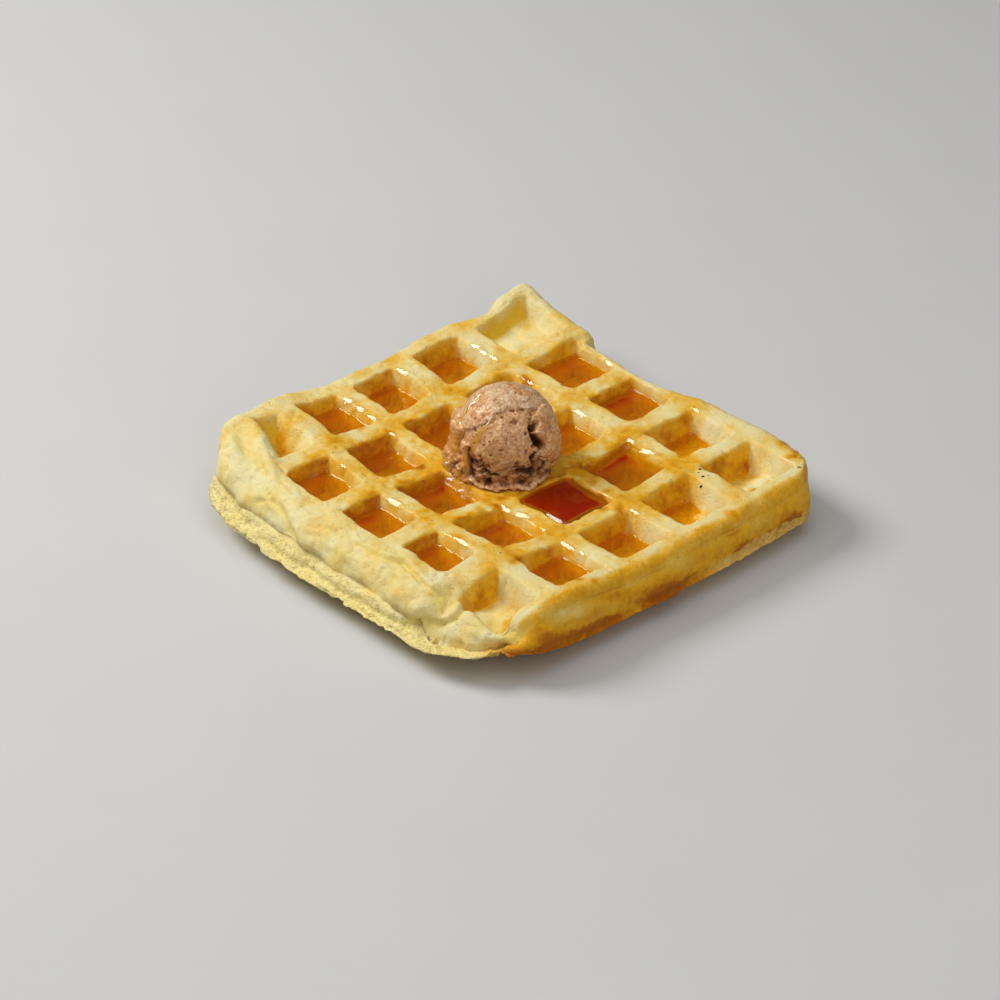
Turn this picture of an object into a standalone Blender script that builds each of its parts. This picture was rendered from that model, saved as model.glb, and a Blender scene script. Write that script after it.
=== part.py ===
"""A square waffle with five rows of five pockets, a scoop of spiced butter on top and syrup in its pockets.

Metres, +Z up. The waffle's rows A to E run along +X and its columns 1 to 5 along +Y.
The origin is under the middle of the waffle, on the surface that it lies on.
"""

import math

import bpy
import numpy as np
from mathutils import Vector, noise
from mathutils.bvhtree import BVHTree

MM = 0.001

# The iron's square grid
ROWS = "ABCDE"
COLUMNS = "12345"
PITCH = 27.6 * MM
OPENING = 20.4 * MM
OPENING_CORNER = 3.4 * MM
WALL_RUN = 3.0 * MM
POCKET_DEPTH = 11.0 * MM
UNDER_SHRINK = 1.0 * MM
UNDER_DEPTH = 4.6 * MM
HALF_SIDE = 75.0 * MM
RIDGE_TOP = 19.0 * MM

# How the soft waffle departs from the flat square iron
FRONT_LIFT = 4.0 * MM
FRONT_LIFT_FROM = 14.0 * MM
FRONT_LIFT_TO = 48.0 * MM
UNDER_LIFT_FROM = 30.0 * MM
UNDER_LIFT_TO = 68.0 * MM
END_LIFT = 2.2 * MM
RIDGE_WOBBLE = 0.45 * MM
WOBBLE_SIZE = 17.0 * MM
LEAN_WOBBLE = 0.5 * MM
LEAN_WOBBLE_SIZE = 24.0 * MM
BACK_LIFT = 0.8 * MM
MIDDLE = (-0.57 * MM, -0.65 * MM)

# Hills in the top, in millimetres: place, reach and height
TOP_HILLS = ((-74.0, 74.0, 20.0, 2.6), (-70.0, -62.0, 22.0, 1.2), (66.0, -70.0, 24.0, -6.0))

# Places where the soft grid has slid sideways, in millimetres: place, reach and the slide along X and Y
SLIDES = (
    (-58.0, -40.0, 24.0, 0.0, 5.0),
    (-42.0, 16.0, 26.0, -1.6, 0.0),
    (42.0, 46.0, 26.0, -1.6, 0.0),
    (44.0, -42.0, 20.0, 0.0, 1.4),
)

# Quarter-round by which the top turns down to each side: its width and its height
ROLL_WIDTH = 12.0 * MM
ROLL_SCALLOP = 1.6 * MM
ROLL_FALL = 10.0 * MM
REAR_ROUND = (4.2 * MM, 3.0 * MM)
RIGHT_ROUND = (5.0 * MM, 3.4 * MM)
SLUMP = 4.2 * MM
PROUD = 1.2 * MM

# Edge of the waffle, below the top and above the flange between the two halves of the iron
FLANGE_HEIGHT = 4.4 * MM
FLANGE_THICKNESS = 0.9 * MM
UNDER_INSET = 4.5 * MM
EDGE_REACH = 13.0 * MM
CORNER_RADII = {(-1, -1): 24.0 * MM, (-1, 1): 4.0 * MM, (1, 1): 17.0 * MM, (1, -1): 30.0 * MM}

# Scoop of butter: a round head on an upright body
SCOOP_RADIUS = 16.4 * MM
SCOOP_BODY = 10.6 * MM
SCOOP_PLACE = (-0.8 * MM, 1.2 * MM)
SCOOP_FLARE = 0.7 * MM
SCOOP_LIP = 3.6 * MM
SCOOP_CRAG = 1.3 * MM
SCOOP_CRAG_SIZE = 6.0 * MM
SCOOP_SIDES = 40
SCOOP_BODY_RINGS = 5
SCOOP_HEAD_RINGS = 9

# Gap kept between two pieces that touch
GAP = 0.3 * MM
POOL_SIDES = 20
POOL_RINGS = (0.88, 0.55)
UNEVEN_POOL_SIDES = 30
UNEVEN_POOL_RINGS = (0.92, 0.74, 0.5)
AWAY_FROM_LUMP = 0.45

# How far below the ridges the syrup stands in each pocket that holds some
SYRUP_DROP = {
    "A2": 5.2, "A3": 5.8, "A4": 6.2,
    "B1": 5.0, "B2": 6.4, "B3": 6.0, "B4": 5.6, "B5": 4.2,
    "C1": 4.0, "C2": 5.2, "C4": 5.2, "C5": 3.6,
    "D1": 4.0, "D2": 5.8, "D3": 1.4, "D4": 2.6, "D5": 6.4,
    "E2": 6.0, "E3": 7.0, "E4": 7.2,
}

BAKED = (0.78, 0.52, 0.17)
BUTTER = (0.42, 0.22, 0.13)
SYRUP = (0.36, 0.11, 0.01)


def remove_scene_objects():
    for obj in list(bpy.data.objects):
        bpy.data.objects.remove(obj, do_unlink=True)


def finish_material(name, colour, roughness):
    material = bpy.data.materials.new(name)
    material.use_nodes = True
    shader = material.node_tree.nodes["Principled BSDF"]
    shader.inputs["Base Color"].default_value = (*colour, 1.0)
    shader.inputs["Roughness"].default_value = roughness
    shader.inputs["Metallic"].default_value = 0.0
    return material


def add_object(name, points, faces, material):
    mesh = bpy.data.meshes.new(name)
    mesh.from_pydata([tuple(point) for point in points], [], faces)
    mesh.materials.append(material)
    mesh.shade_smooth()
    mesh.set_sharp_from_angle(angle=math.radians(40))
    obj = bpy.data.objects.new(name, mesh)
    bpy.context.scene.collection.objects.link(obj)
    return obj


def ease(value, start, end):
    """0 before start, 1 after end, and a smooth step between them."""
    t = np.clip((value - start) / (end - start), 0.0, 1.0)
    return t * t * (3.0 - 2.0 * t)


def spot(s, t, s0, t0, reach):
    """A round hill, 1 at (s0, t0) and nothing beyond about twice its reach."""
    return np.exp(-((s - s0) ** 2 + (t - t0) ** 2) / reach**2)


def ramp(p, bend=0.26):
    """From 0 to 1 in a straight line whose two ends are rounded off."""
    p = np.clip(p, 0.0, 1.0)
    low = p * p / (2.0 * bend * (1.0 - bend))
    high = 1.0 - (1.0 - p) ** 2 / (2.0 * bend * (1.0 - bend))
    middle = (p - bend / 2.0) / (1.0 - bend)
    return np.where(p < bend, low, np.where(p > 1.0 - bend, high, middle))


def wobble(s, t, size, seed):
    """Smooth unevenness of a hand-poured waffle, about -1 to 1."""
    s, t = np.broadcast_arrays(np.asarray(s, float), np.asarray(t, float))
    flat = [
        noise.noise(Vector((a / size, b / size, seed)))
        for a, b in zip(s.ravel(), t.ravel())
    ]
    return 2.0 * np.array(flat).reshape(s.shape)


def opening_spans(trims):
    """Low and high edge of the five openings along one side, with some edges moved."""
    spans = []
    for k in range(5):
        low, high = trims.get(k, (0.0, 0.0))
        middle = (k - 2) * PITCH
        spans.append((middle - OPENING / 2.0 + low, middle + OPENING / 2.0 + high))
    return spans


ROW_SPANS = opening_spans({0: (-1.0 * MM, 0.0), 4: (0.0, 0.8 * MM)})
COLUMN_SPANS = opening_spans({0: (3.2 * MM, 0.0), 4: (0.0, 1.2 * MM)})
SHALLOW = {"A5": 5.2 * MM, "E5": 1.6 * MM, "E4": 1.2 * MM, "E1": 1.8 * MM, "D5": 1.0 * MM}

# Lumps of batter that ran into a pocket: place in it, reach and height
LUMPS = {
    "A1": ((-2.0, -7.0, 7.0, 10.5),),
    "A5": ((2.0, -4.0, 7.0, 1.6),),
    "D5": ((4.5, 4.0, 4.6, 5.0),),
    "E3": ((5.5, 4.0, 3.6, 3.4),),
    "E4": ((3.5, 6.0, 4.4, 4.4), (6.5, -1.0, 3.0, 2.4)),
    "E5": ((5.0, -3.5, 4.4, 5.2), (2.0, 6.5, 3.6, 4.6)),
    "E1": ((3.0, -1.0, 7.5, 2.6),),
}


def pocket_middle(name):
    row = ROW_SPANS[ROWS.index(name[0])]
    column = COLUMN_SPANS[COLUMNS.index(name[1])]
    return sum(row) / 2.0, sum(column) / 2.0


def inside_pocket(s, t, row, column, shrink=0.0):
    """Distance from a pocket's rounded rim, counted inwards, at each point."""
    half_s = (row[1] - row[0]) / 2.0 - shrink - OPENING_CORNER
    half_t = (column[1] - column[0]) / 2.0 - shrink - OPENING_CORNER
    ds = np.abs(s - sum(row) / 2.0) - half_s
    dt = np.abs(t - sum(column) / 2.0) - half_t
    outside = np.hypot(np.maximum(ds, 0.0), np.maximum(dt, 0.0))
    return OPENING_CORNER - outside - np.minimum(np.maximum(ds, dt), 0.0)


def pocket_depths(s, t):
    """How deep the top's pockets lie below the ridges at each point."""
    deep = np.zeros(np.broadcast(s, t).shape)
    for i, row in enumerate(ROW_SPANS):
        for j, column in enumerate(COLUMN_SPANS):
            name = ROWS[i] + COLUMNS[j]
            inside = inside_pocket(s, t, row, column)
            here = ramp(inside / WALL_RUN) * (POCKET_DEPTH - SHALLOW.get(name, 0.0))
            s0, t0 = pocket_middle(name)
            for lump_s, lump_t, reach, height in LUMPS.get(name, ()):
                lump = spot(s, t, s0 + lump_s * MM, t0 + lump_t * MM, reach * MM)
                here = here - height * MM * lump * ramp(inside / (2.0 * WALL_RUN))
            deep = np.maximum(deep, here)
    return deep


def lift(s, t):
    """The ridges' rise above the flat: the front-left strip and the far corners curl up."""
    front = FRONT_LIFT * ease(-t, FRONT_LIFT_FROM, FRONT_LIFT_TO)
    ends = END_LIFT * (s / HALF_SIDE) ** 2 + BACK_LIFT * (np.maximum(t, 0.0) / HALF_SIDE) ** 2
    hills = sum(
        height * MM * spot(s, t, s0 * MM, t0 * MM, reach * MM) for s0, t0, reach, height in TOP_HILLS
    )
    return front + ends + hills


def under_lift(s, t):
    """The underside lies flat in the middle and rises towards the front-left and the ends."""
    front = FRONT_LIFT * ease(-t, UNDER_LIFT_FROM, UNDER_LIFT_TO)
    ends = END_LIFT * ease(np.abs(s), 40 * MM, HALF_SIDE)
    return front + ends


def edge_fall(distance, width, height):
    """Quarter ellipse by which the top turns down towards an edge this far away."""
    near = np.clip(1.0 - distance / width, 0.0, 1.0)
    return height * (1.0 - np.sqrt(1.0 - 0.985 * near * near))


def top_height(s, t):
    """Height of the baked top over the iron's square (s, t)."""
    roll = ROLL_WIDTH - ROLL_SCALLOP * np.cos(2.0 * math.pi * s / PITCH)
    fall = edge_fall(t + HALF_SIDE, roll, ROLL_FALL) ** 2
    fall = fall + edge_fall(HALF_SIDE - t, *REAR_ROUND) ** 2
    fall = fall + edge_fall(HALF_SIDE - s, *RIGHT_ROUND) ** 2
    fall = np.sqrt(fall + edge_fall(s + HALF_SIDE, *REAR_ROUND) ** 2)
    # The rolled front-left edge ends at pocket E1, where the rim has slumped; corner A5 stands proud
    slump = SLUMP * ease(s, 38 * MM, 46 * MM) * ease(-t, 52 * MM, 66 * MM)
    proud = PROUD * ease(-s, 36 * MM, 39 * MM) * ease(t, 56 * MM, 60 * MM)
    uneven = RIDGE_WOBBLE * wobble(s, t, WOBBLE_SIZE, 3.1) * (1.0 - spot(s, t, 0.0, 0.0, 20 * MM))
    deep = pocket_depths(s, t)
    ridge = RIDGE_TOP + lift(s, t) + uneven + proud - slump
    return ridge - fall - deep * (1.0 - (fall + slump) / (16.0 * MM))


def under_height(s, t):
    deep = np.zeros(np.broadcast(s, t).shape)
    for row in ROW_SPANS:
        for column in COLUMN_SPANS:
            inside = inside_pocket(s, t, row, column, UNDER_SHRINK)
            deep = np.maximum(deep, UNDER_DEPTH * ramp(inside / WALL_RUN))
    return under_lift(s, t) + deep


def between(position, knots):
    """Smooth curve through a few (position, value) knots."""
    places = [knot[0] * MM for knot in knots]
    values = [knot[1] * MM for knot in knots]
    out = np.full(np.shape(position), values[0])
    for i in range(len(places) - 1):
        step = ease(position, places[i], places[i + 1])
        out = out + (values[i + 1] - values[i]) * step
    return out


# How far each side lies outside the iron's square, at a few places along it
BACK_LEFT_EDGE = (
    (-75, -4.0), (-50, -2.4), (-30, 0.6), (10, -1.6), (40, 0.2), (53, -3.2), (60, 0.6), (75, 1.0)
)
BACK_RIGHT_EDGE = ((-75, 1.0), (-37, 0.4), (-34, -5.4), (-8, -6.6), (22, -0.6), (45, 0.6), (75, -2.0))
FRONT_RIGHT_EDGE = ((-75, -3.0), (-40, -3.6), (0, -1.4), (40, -1.4), (75, -3.0))
FRONT_LEFT_EDGE = ((-75, -4.0), (-50, -1.6), (0, -1.0), (30, -2.4), (75, -6.0))


def plan(s, t, inset=0.0):
    """Where a point of the iron's square comes to lie on the real, uneven waffle."""
    x = np.array(s, float)
    y = np.array(t, float)
    for (side_s, side_t), radius in CORNER_RADII.items():
        a = np.clip((x * side_s - (HALF_SIDE - radius)) / radius, 0.0, 1.0)
        b = np.clip((y * side_t - (HALF_SIDE - radius)) / radius, 0.0, 1.0)
        x = x + side_s * radius * a * (np.sqrt(1.0 - b * b / 2.0) - 1.0)
        y = y + side_t * radius * b * (np.sqrt(1.0 - a * a / 2.0) - 1.0)
    start = HALF_SIDE - EDGE_REACH
    x = x - (between(t, BACK_LEFT_EDGE) - inset) * ease(-s, start, HALF_SIDE)
    x = x + (between(t, FRONT_RIGHT_EDGE) - inset) * ease(s, start, HALF_SIDE)
    y = y - (between(s, FRONT_LEFT_EDGE) - inset) * ease(-t, start, HALF_SIDE)
    y = y + (between(s, BACK_RIGHT_EDGE) - inset) * ease(t, start, HALF_SIDE)
    for s0, t0, reach, slide_x, slide_y in SLIDES:
        near = MM * spot(s, t, s0 * MM, t0 * MM, reach * MM)
        x = x + slide_x * near
        y = y + slide_y * near
    y = y + LEAN_WOBBLE * wobble(s, t, LEAN_WOBBLE_SIZE, 11.7)
    x = x + LEAN_WOBBLE * wobble(s, t, LEAN_WOBBLE_SIZE, 23.9)
    return x - MIDDLE[0], y - MIDDLE[1]


def grid_lines(spans):
    """Lines across the iron's square, closest together where the pocket walls are."""
    rim = [68.6 * MM, 71.5 * MM, 73.8 * MM, HALF_SIDE]
    lines = [*rim, *(-r for r in rim)]
    for low, high in spans:
        for step in (0.0, WALL_RUN / 2.0, WALL_RUN * 1.1):
            lines += [low + step, high - step]
    return np.array(sorted(lines))


# Side of the waffle from its top edge down: the share of the height left, and how far the
# front-left, front-right, back-right and back-left sides bulge there, in millimetres
SIDE_RINGS = (
    (0.90, (-0.5, 0.4, 0.3, 0.3)),
    (0.70, (1.9, 1.0, 0.7, 0.7)),
    (0.36, (3.4, 1.5, 0.8, 0.8)),
    (0.10, (4.0, 0.9, 0.3, 0.3)),
)
FLANGE_REACH = (4.9, 2.2, 1.2, 1.4)
FLANGE_RAGGED = 0.24
FLANGE_ROOT = 1.6 * MM
FLANGE_ROOT_DROP = 1.3 * MM


def perimeter(count):
    """Index pairs round the square grid, anticlockwise seen from above."""
    last = count - 1
    front = [(i, 0) for i in range(last)]
    right = [(last, j) for j in range(last)]
    back = [(i, last) for i in range(last, 0, -1)]
    left = [(0, j) for j in range(last, 0, -1)]
    return front + right + back + left


def outward(points):
    """Level unit vectors that point out of a closed loop of points."""
    along = np.roll(points, -1, axis=0) - np.roll(points, 1, axis=0)
    across = np.stack([along[:, 1], -along[:, 0]], axis=1)
    across = across + np.roll(across, 1, axis=0) + np.roll(across, -1, axis=0)
    return across / np.linalg.norm(across, axis=1)[:, None]


def side_shares(s, t):
    """How much each of the four sides counts at a point of the edge."""
    away = np.stack([t + HALF_SIDE, HALF_SIDE - s, HALF_SIDE - t, s + HALF_SIDE])
    shares = np.clip(1.0 - away / (14.0 * MM), 0.0, 1.0) ** 2
    return shares / shares.sum(axis=0)


def waffle_mesh(s_lines, t_lines):
    count = len(s_lines)
    s, t = np.meshgrid(s_lines, t_lines, indexing="ij")
    x, y = plan(s, t)
    top = np.stack([x, y, top_height(s, t)], axis=-1)
    ux, uy = plan(s, t, UNDER_INSET)
    under = np.stack([ux, uy, under_height(s, t)], axis=-1)

    loop = perimeter(count)
    rows = [a for a, _ in loop]
    cols = [b for _, b in loop]
    edge_s, edge_t = s[rows, cols], t[rows, cols]
    edge = top[rows, cols]
    out = outward(edge[:, :2])
    shares = side_shares(edge_s, edge_t)
    flange_z = FLANGE_HEIGHT + under_lift(edge_s, edge_t)
    ragged = wobble(edge_s, edge_t, 5.0 * MM, 41.3)

    rings = []
    for share, bulges in SIDE_RINGS:
        bulge = np.tensordot(np.array(bulges) * MM, shares, axes=1)
        height = flange_z + share * (edge[:, 2] - flange_z)
        rings.append((bulge, height))
    reach = np.tensordot(np.array(FLANGE_REACH) * MM, shares, axes=1) * (1.0 + FLANGE_RAGGED * ragged)
    rings.append((reach, flange_z + FLANGE_THICKNESS / 2.0))
    rings.append((reach, flange_z - FLANGE_THICKNESS / 2.0))
    rings.append((np.full(len(loop), -FLANGE_ROOT), flange_z - FLANGE_ROOT_DROP))
    side = [
        np.column_stack([edge[:, :2] + out * bulge[:, None], height])
        for bulge, height in rings
    ]

    points = np.concatenate([top.reshape(-1, 3), *side, under.reshape(-1, 3)])
    top_index = np.arange(count * count).reshape(count, count)
    under_index = top_index + count * count + len(side) * len(loop)
    bands = [top_index[rows, cols]]
    bands += [count * count + k * len(loop) + np.arange(len(loop)) for k in range(len(side))]
    bands.append(under_index[rows, cols])
    faces = []
    for i in range(count - 1):
        for j in range(count - 1):
            faces.append((top_index[i, j], top_index[i + 1, j], top_index[i + 1, j + 1], top_index[i, j + 1]))
            faces.append(
                (under_index[i, j], under_index[i, j + 1], under_index[i + 1, j + 1], under_index[i + 1, j])
            )
    for upper, lower in zip(bands, bands[1:]):
        for k in range(len(loop)):
            n = (k + 1) % len(loop)
            faces.append((upper[k], lower[k], lower[n], upper[n]))
    return points, [tuple(int(v) for v in face) for face in faces]


def make_waffle():
    points, faces = waffle_mesh(grid_lines(ROW_SPANS), grid_lines(COLUMN_SPANS))
    return add_object("waffle", points, faces, finish_material("baked_batter", BAKED, 0.55))


def scoop_spread(direction, height):
    """How far the scoop's side stands out, with its craggy lower band and the lip at its left."""
    low = float(ease(-height, -0.75 * SCOOP_BODY, 0.0))
    lip = max(0.0, direction.dot(Vector((-0.669, -0.743, 0.0)))) ** 6
    place = direction * SCOOP_RADIUS + Vector((0.0, 0.0, height))
    crags = noise.noise(place / SCOOP_CRAG_SIZE)
    return SCOOP_CRAG * crags * (0.4 + low) + SCOOP_LIP * lip * low + SCOOP_FLARE * low


def make_scoop(foot_height):
    """A pressed scoop: a round head on an upright body, flat where it lies on the ridges."""
    foot = Vector((SCOOP_PLACE[0] - MIDDLE[0], SCOOP_PLACE[1] - MIDDLE[1], foot_height))
    body = [SCOOP_BODY * k / SCOOP_BODY_RINGS for k in range(SCOOP_BODY_RINGS)]
    profile = [(SCOOP_RADIUS, height) for height in body]
    for k in range(SCOOP_HEAD_RINGS):
        climb = 0.5 * math.pi * k / SCOOP_HEAD_RINGS
        profile.append((SCOOP_RADIUS * math.cos(climb), SCOOP_BODY + SCOOP_RADIUS * math.sin(climb)))
    points = [foot, foot + Vector((0.0, 0.0, SCOOP_BODY + SCOOP_RADIUS))]
    for radius, height in profile:
        for side in range(SCOOP_SIDES):
            around = 2.0 * math.pi * side / SCOOP_SIDES
            direction = Vector((math.cos(around), math.sin(around), 0.0))
            spread = scoop_spread(direction, height) * radius / SCOOP_RADIUS
            points.append(foot + direction * (radius + spread) + Vector((0.0, 0.0, height)))
    faces = []
    for side in range(SCOOP_SIDES):
        after = (side + 1) % SCOOP_SIDES
        faces.append((0, 2 + after, 2 + side))
        for k in range(len(profile) - 1):
            lower, upper = 2 + k * SCOOP_SIDES, 2 + (k + 1) * SCOOP_SIDES
            faces.append((lower + side, lower + after, upper + after, upper + side))
        last = 2 + (len(profile) - 1) * SCOOP_SIDES
        faces.append((1, last + side, last + after))
    return add_object("butter_scoop", points, faces, finish_material("spiced_butter", BUTTER, 0.5))


def height_under(points, centre, reach):
    """The highest point of the baked top within this reach of a place."""
    near = [point.z for point in points if math.hypot(point.x - centre[0], point.y - centre[1]) < reach]
    return max(near)


def make_syrup_pool(name, waffle_tree, material):
    """Syrup standing level in one pocket, clear of the baked wall and floor."""
    s0, t0 = pocket_middle(name)
    level = RIDGE_TOP + float(lift(s0, t0)) - SYRUP_DROP[name] * MM
    lumps = LUMPS.get(name, ())
    for lump_s, lump_t, _, _ in lumps:
        s0 -= AWAY_FROM_LUMP * lump_s * MM
        t0 -= AWAY_FROM_LUMP * lump_t * MM
    x0, y0 = (float(value) for value in plan(s0, t0))
    middle = Vector((x0, y0, level))
    down = Vector((0.0, 0.0, -1.0))
    clear = (3.2 if lumps else 2.0) * GAP

    def floor_under(place):
        hit = waffle_tree.ray_cast(place, down)[0]
        return Vector((place.x, place.y, min(hit.z + clear, level - GAP)))

    shares = UNEVEN_POOL_RINGS if lumps else POOL_RINGS
    sides = UNEVEN_POOL_SIDES if lumps else POOL_SIDES
    rings = [[] for _ in range(len(shares) + 1)]
    for side in range(sides):
        around = 2.0 * math.pi * side / sides
        direction = Vector((math.cos(around), math.sin(around), 0.0))
        reach = waffle_tree.ray_cast(middle, direction)[3] - clear
        rings[0].append(middle + direction * reach)
        for ring, share in zip(rings[1:], shares):
            ring.append(floor_under(middle + direction * reach * share))
    points = [middle, floor_under(middle)]
    for ring in rings:
        points += ring
    faces = []
    for side in range(sides):
        after = (side + 1) % sides
        faces.append((0, 2 + side, 2 + after))
        for k in range(len(shares)):
            upper, lower = 2 + k * sides, 2 + (k + 1) * sides
            faces.append((upper + side, lower + side, lower + after, upper + after))
        last = 2 + len(shares) * sides
        faces.append((last + side, 1, last + after))
    return add_object("syrup_pool_" + name, points, faces, material)


def main():
    remove_scene_objects()
    waffle = make_waffle()
    tree = BVHTree.FromPolygons(
        [vertex.co for vertex in waffle.data.vertices],
        [tuple(polygon.vertices) for polygon in waffle.data.polygons],
    )
    points = [vertex.co for vertex in waffle.data.vertices]
    make_scoop(height_under(points, SCOOP_PLACE, SCOOP_RADIUS + SCOOP_LIP) + GAP)
    syrup = finish_material("maple_syrup", SYRUP, 0.08)
    for name in SYRUP_DROP:
        make_syrup_pool(name, tree, syrup)


main()
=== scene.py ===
"""Looks of a square waffle with a scoop of spiced butter and syrup in its pockets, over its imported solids."""

import math

import bpy
import numpy as np
from mathutils import Matrix, Vector, noise
from mathutils.bvhtree import BVHTree


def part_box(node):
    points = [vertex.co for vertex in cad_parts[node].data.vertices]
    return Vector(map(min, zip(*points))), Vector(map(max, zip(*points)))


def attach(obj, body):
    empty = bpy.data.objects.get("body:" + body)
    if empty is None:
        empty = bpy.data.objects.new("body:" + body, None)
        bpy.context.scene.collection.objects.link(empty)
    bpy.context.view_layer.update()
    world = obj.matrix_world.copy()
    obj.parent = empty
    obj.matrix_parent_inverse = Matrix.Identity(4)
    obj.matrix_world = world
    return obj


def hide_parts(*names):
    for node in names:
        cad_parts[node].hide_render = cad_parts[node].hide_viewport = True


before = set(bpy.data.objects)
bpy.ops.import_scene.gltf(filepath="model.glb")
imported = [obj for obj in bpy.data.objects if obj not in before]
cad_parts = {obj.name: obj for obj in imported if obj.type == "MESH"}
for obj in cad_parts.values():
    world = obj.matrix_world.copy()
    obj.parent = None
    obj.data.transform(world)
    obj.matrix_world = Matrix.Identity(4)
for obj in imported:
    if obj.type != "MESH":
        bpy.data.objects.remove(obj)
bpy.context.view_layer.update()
MM = 0.001


# Studio
# A plain pale floor under a broad soft lamp, high on the left, with weaker ones overhead and at the right.
# The camera stands 34 degrees above the floor and looks along the waffle's diagonal.
CAMERA_TURN = math.radians(48.0)
CAMERA_RISE = math.radians(34.0)
CAMERA_AWAY = 1.35
CAMERA_ASIDE = -1.78 * MM
CAMERA_UP = 4.25 * MM
SENSOR = 36.0
PIXELS_PER_MM = 3.105
WAFFLE_MIDDLE = (-0.57 * MM, -0.65 * MM)
# Name, direction, width in metres, watts, and how much of it the gloss shows
LAMPS = (
    ("window", (-0.85, -0.45, 0.92), 0.60, 11.6, 1.0),
    ("ceiling", (0.10, -0.15, 1.0), 1.6, 7.4, 0.12),
    ("fill", (0.85, -0.30, 0.50), 1.0, 3.6, 0.10),
)
LAMP_AWAY = 1.25
LAMP_COLOUR = (1.0, 0.98, 0.95)
ROOM_COLOUR = (0.95, 0.97, 1.0, 1.0)
ROOM_LIGHT = 0.06
FLOOR_COLOUR = (0.61, 0.615, 0.615, 1.0)
FLOOR_SHADE = (0.585, 0.59, 0.59, 1.0)
FLOOR_REACH = 6.0


class Wire:
    """A shader socket that takes part in sums, so that 1 - mask * 0.5 adds its own Math nodes."""

    def __init__(self, shader, socket):
        self.shader = shader
        self.socket = socket

    def math(self, operation, first, second):
        return self.shader.node("ShaderNodeMath", {"operation": operation}, {0: first, 1: second})

    def __add__(self, other):
        return self.math("ADD", self, other)

    def __radd__(self, other):
        return self.math("ADD", other, self)

    def __sub__(self, other):
        return self.math("SUBTRACT", self, other)

    def __rsub__(self, other):
        return self.math("SUBTRACT", other, self)

    def __mul__(self, other):
        return self.math("MULTIPLY", self, other)

    def __rmul__(self, other):
        return self.math("MULTIPLY", other, self)

    def at_most(self, limit):
        return self.math("MINIMUM", self, limit)

    def rise(self, low, high):
        """0 where this is under low, 1 where it is over high, and a smooth step between them."""
        settings = {"interpolation_type": "SMOOTHSTEP", "clamp": True}
        sockets = {"Value": self, "From Min": low, "From Max": high}
        return self.shader.node("ShaderNodeMapRange", settings, sockets)


class Shader:
    """One material, and the one way to add a node to it."""

    def __init__(self, name):
        self.material = bpy.data.materials.new(name)
        self.material.use_nodes = True
        self.tree = self.material.node_tree
        self.tree.nodes.clear()

    def node(self, kind, settings=None, inputs=None, output=0):
        made = self.tree.nodes.new(kind)
        for key, value in (settings or {}).items():
            if key == "stops":
                for place, _ in value[2:]:
                    made.color_ramp.elements.new(place)
                for element, (place, colour) in zip(made.color_ramp.elements, value):
                    element.position = place
                    element.color = (*colour, 1.0)
            else:
                setattr(made, key, value)
        for key, value in (inputs or {}).items():
            if isinstance(value, Wire):
                self.tree.links.new(value.socket, made.inputs[key])
            else:
                made.inputs[key].default_value = value
        return Wire(self, made.outputs[output] if made.outputs else None)

    def grain(self, size, detail=2.0, roughness=0.5):
        """Noise with blots of about this size, in metres."""
        places = self.node("ShaderNodeTexCoord", output="Object")
        sockets = {"Vector": places, "Scale": 1.0 / size, "Detail": detail, "Roughness": roughness}
        return self.node("ShaderNodeTexNoise", None, sockets)

    def pits(self, size):
        """Distance from the nearest of many scattered points, 0 to about 1, in cells of this size."""
        places = self.node("ShaderNodeTexCoord", output="Object")
        return self.node("ShaderNodeTexVoronoi", None, {"Vector": places, "Scale": 1.0 / size})

    def blend(self, first, second, share, way="MIX"):
        """Two colours, with the second one over the first by this share."""
        settings = {"data_type": "RGBA", "blend_type": way, "clamp_factor": True}
        return self.node("ShaderNodeMix", settings, {0: share, 6: first, 7: second}, 2)

    def mix(self, first, second, share):
        """Two surfaces, with the second one over the first by this share."""
        return self.node("ShaderNodeMixShader", None, {0: share, 1: first, 2: second})

    def ramp(self, value, stops):
        return self.node("ShaderNodeValToRGB", {"stops": stops}, {"Fac": value})

    def measure(self, name):
        """A number stored at each point of the piece."""
        return self.node("ShaderNodeAttribute", {"attribute_name": name}, output="Fac")

    def bump(self, height, depth):
        """The normal of a surface with this relief, whose full depth is in metres."""
        return self.node("ShaderNodeBump", None, {"Height": height, "Distance": depth, "Strength": 1.0})

    def done(self, surface):
        self.node("ShaderNodeOutputMaterial", None, {"Surface": surface})
        return self.material


def add_piece(name, points, faces, material, measures=None):
    """A smooth-shaded mesh, with the numbers that its material reads at each point."""
    mesh = bpy.data.meshes.new(name)
    mesh.from_pydata(np.asarray(points, float).tolist(), [], faces)
    mesh.materials.append(material)
    mesh.shade_smooth()
    for key, values in (measures or {}).items():
        store = mesh.attributes.new(key, "FLOAT", "POINT")
        store.data.foreach_set("value", np.asarray(values, np.float32).ravel())
    piece = bpy.data.objects.new(name, mesh)
    bpy.context.scene.collection.objects.link(piece)
    return piece


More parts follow.
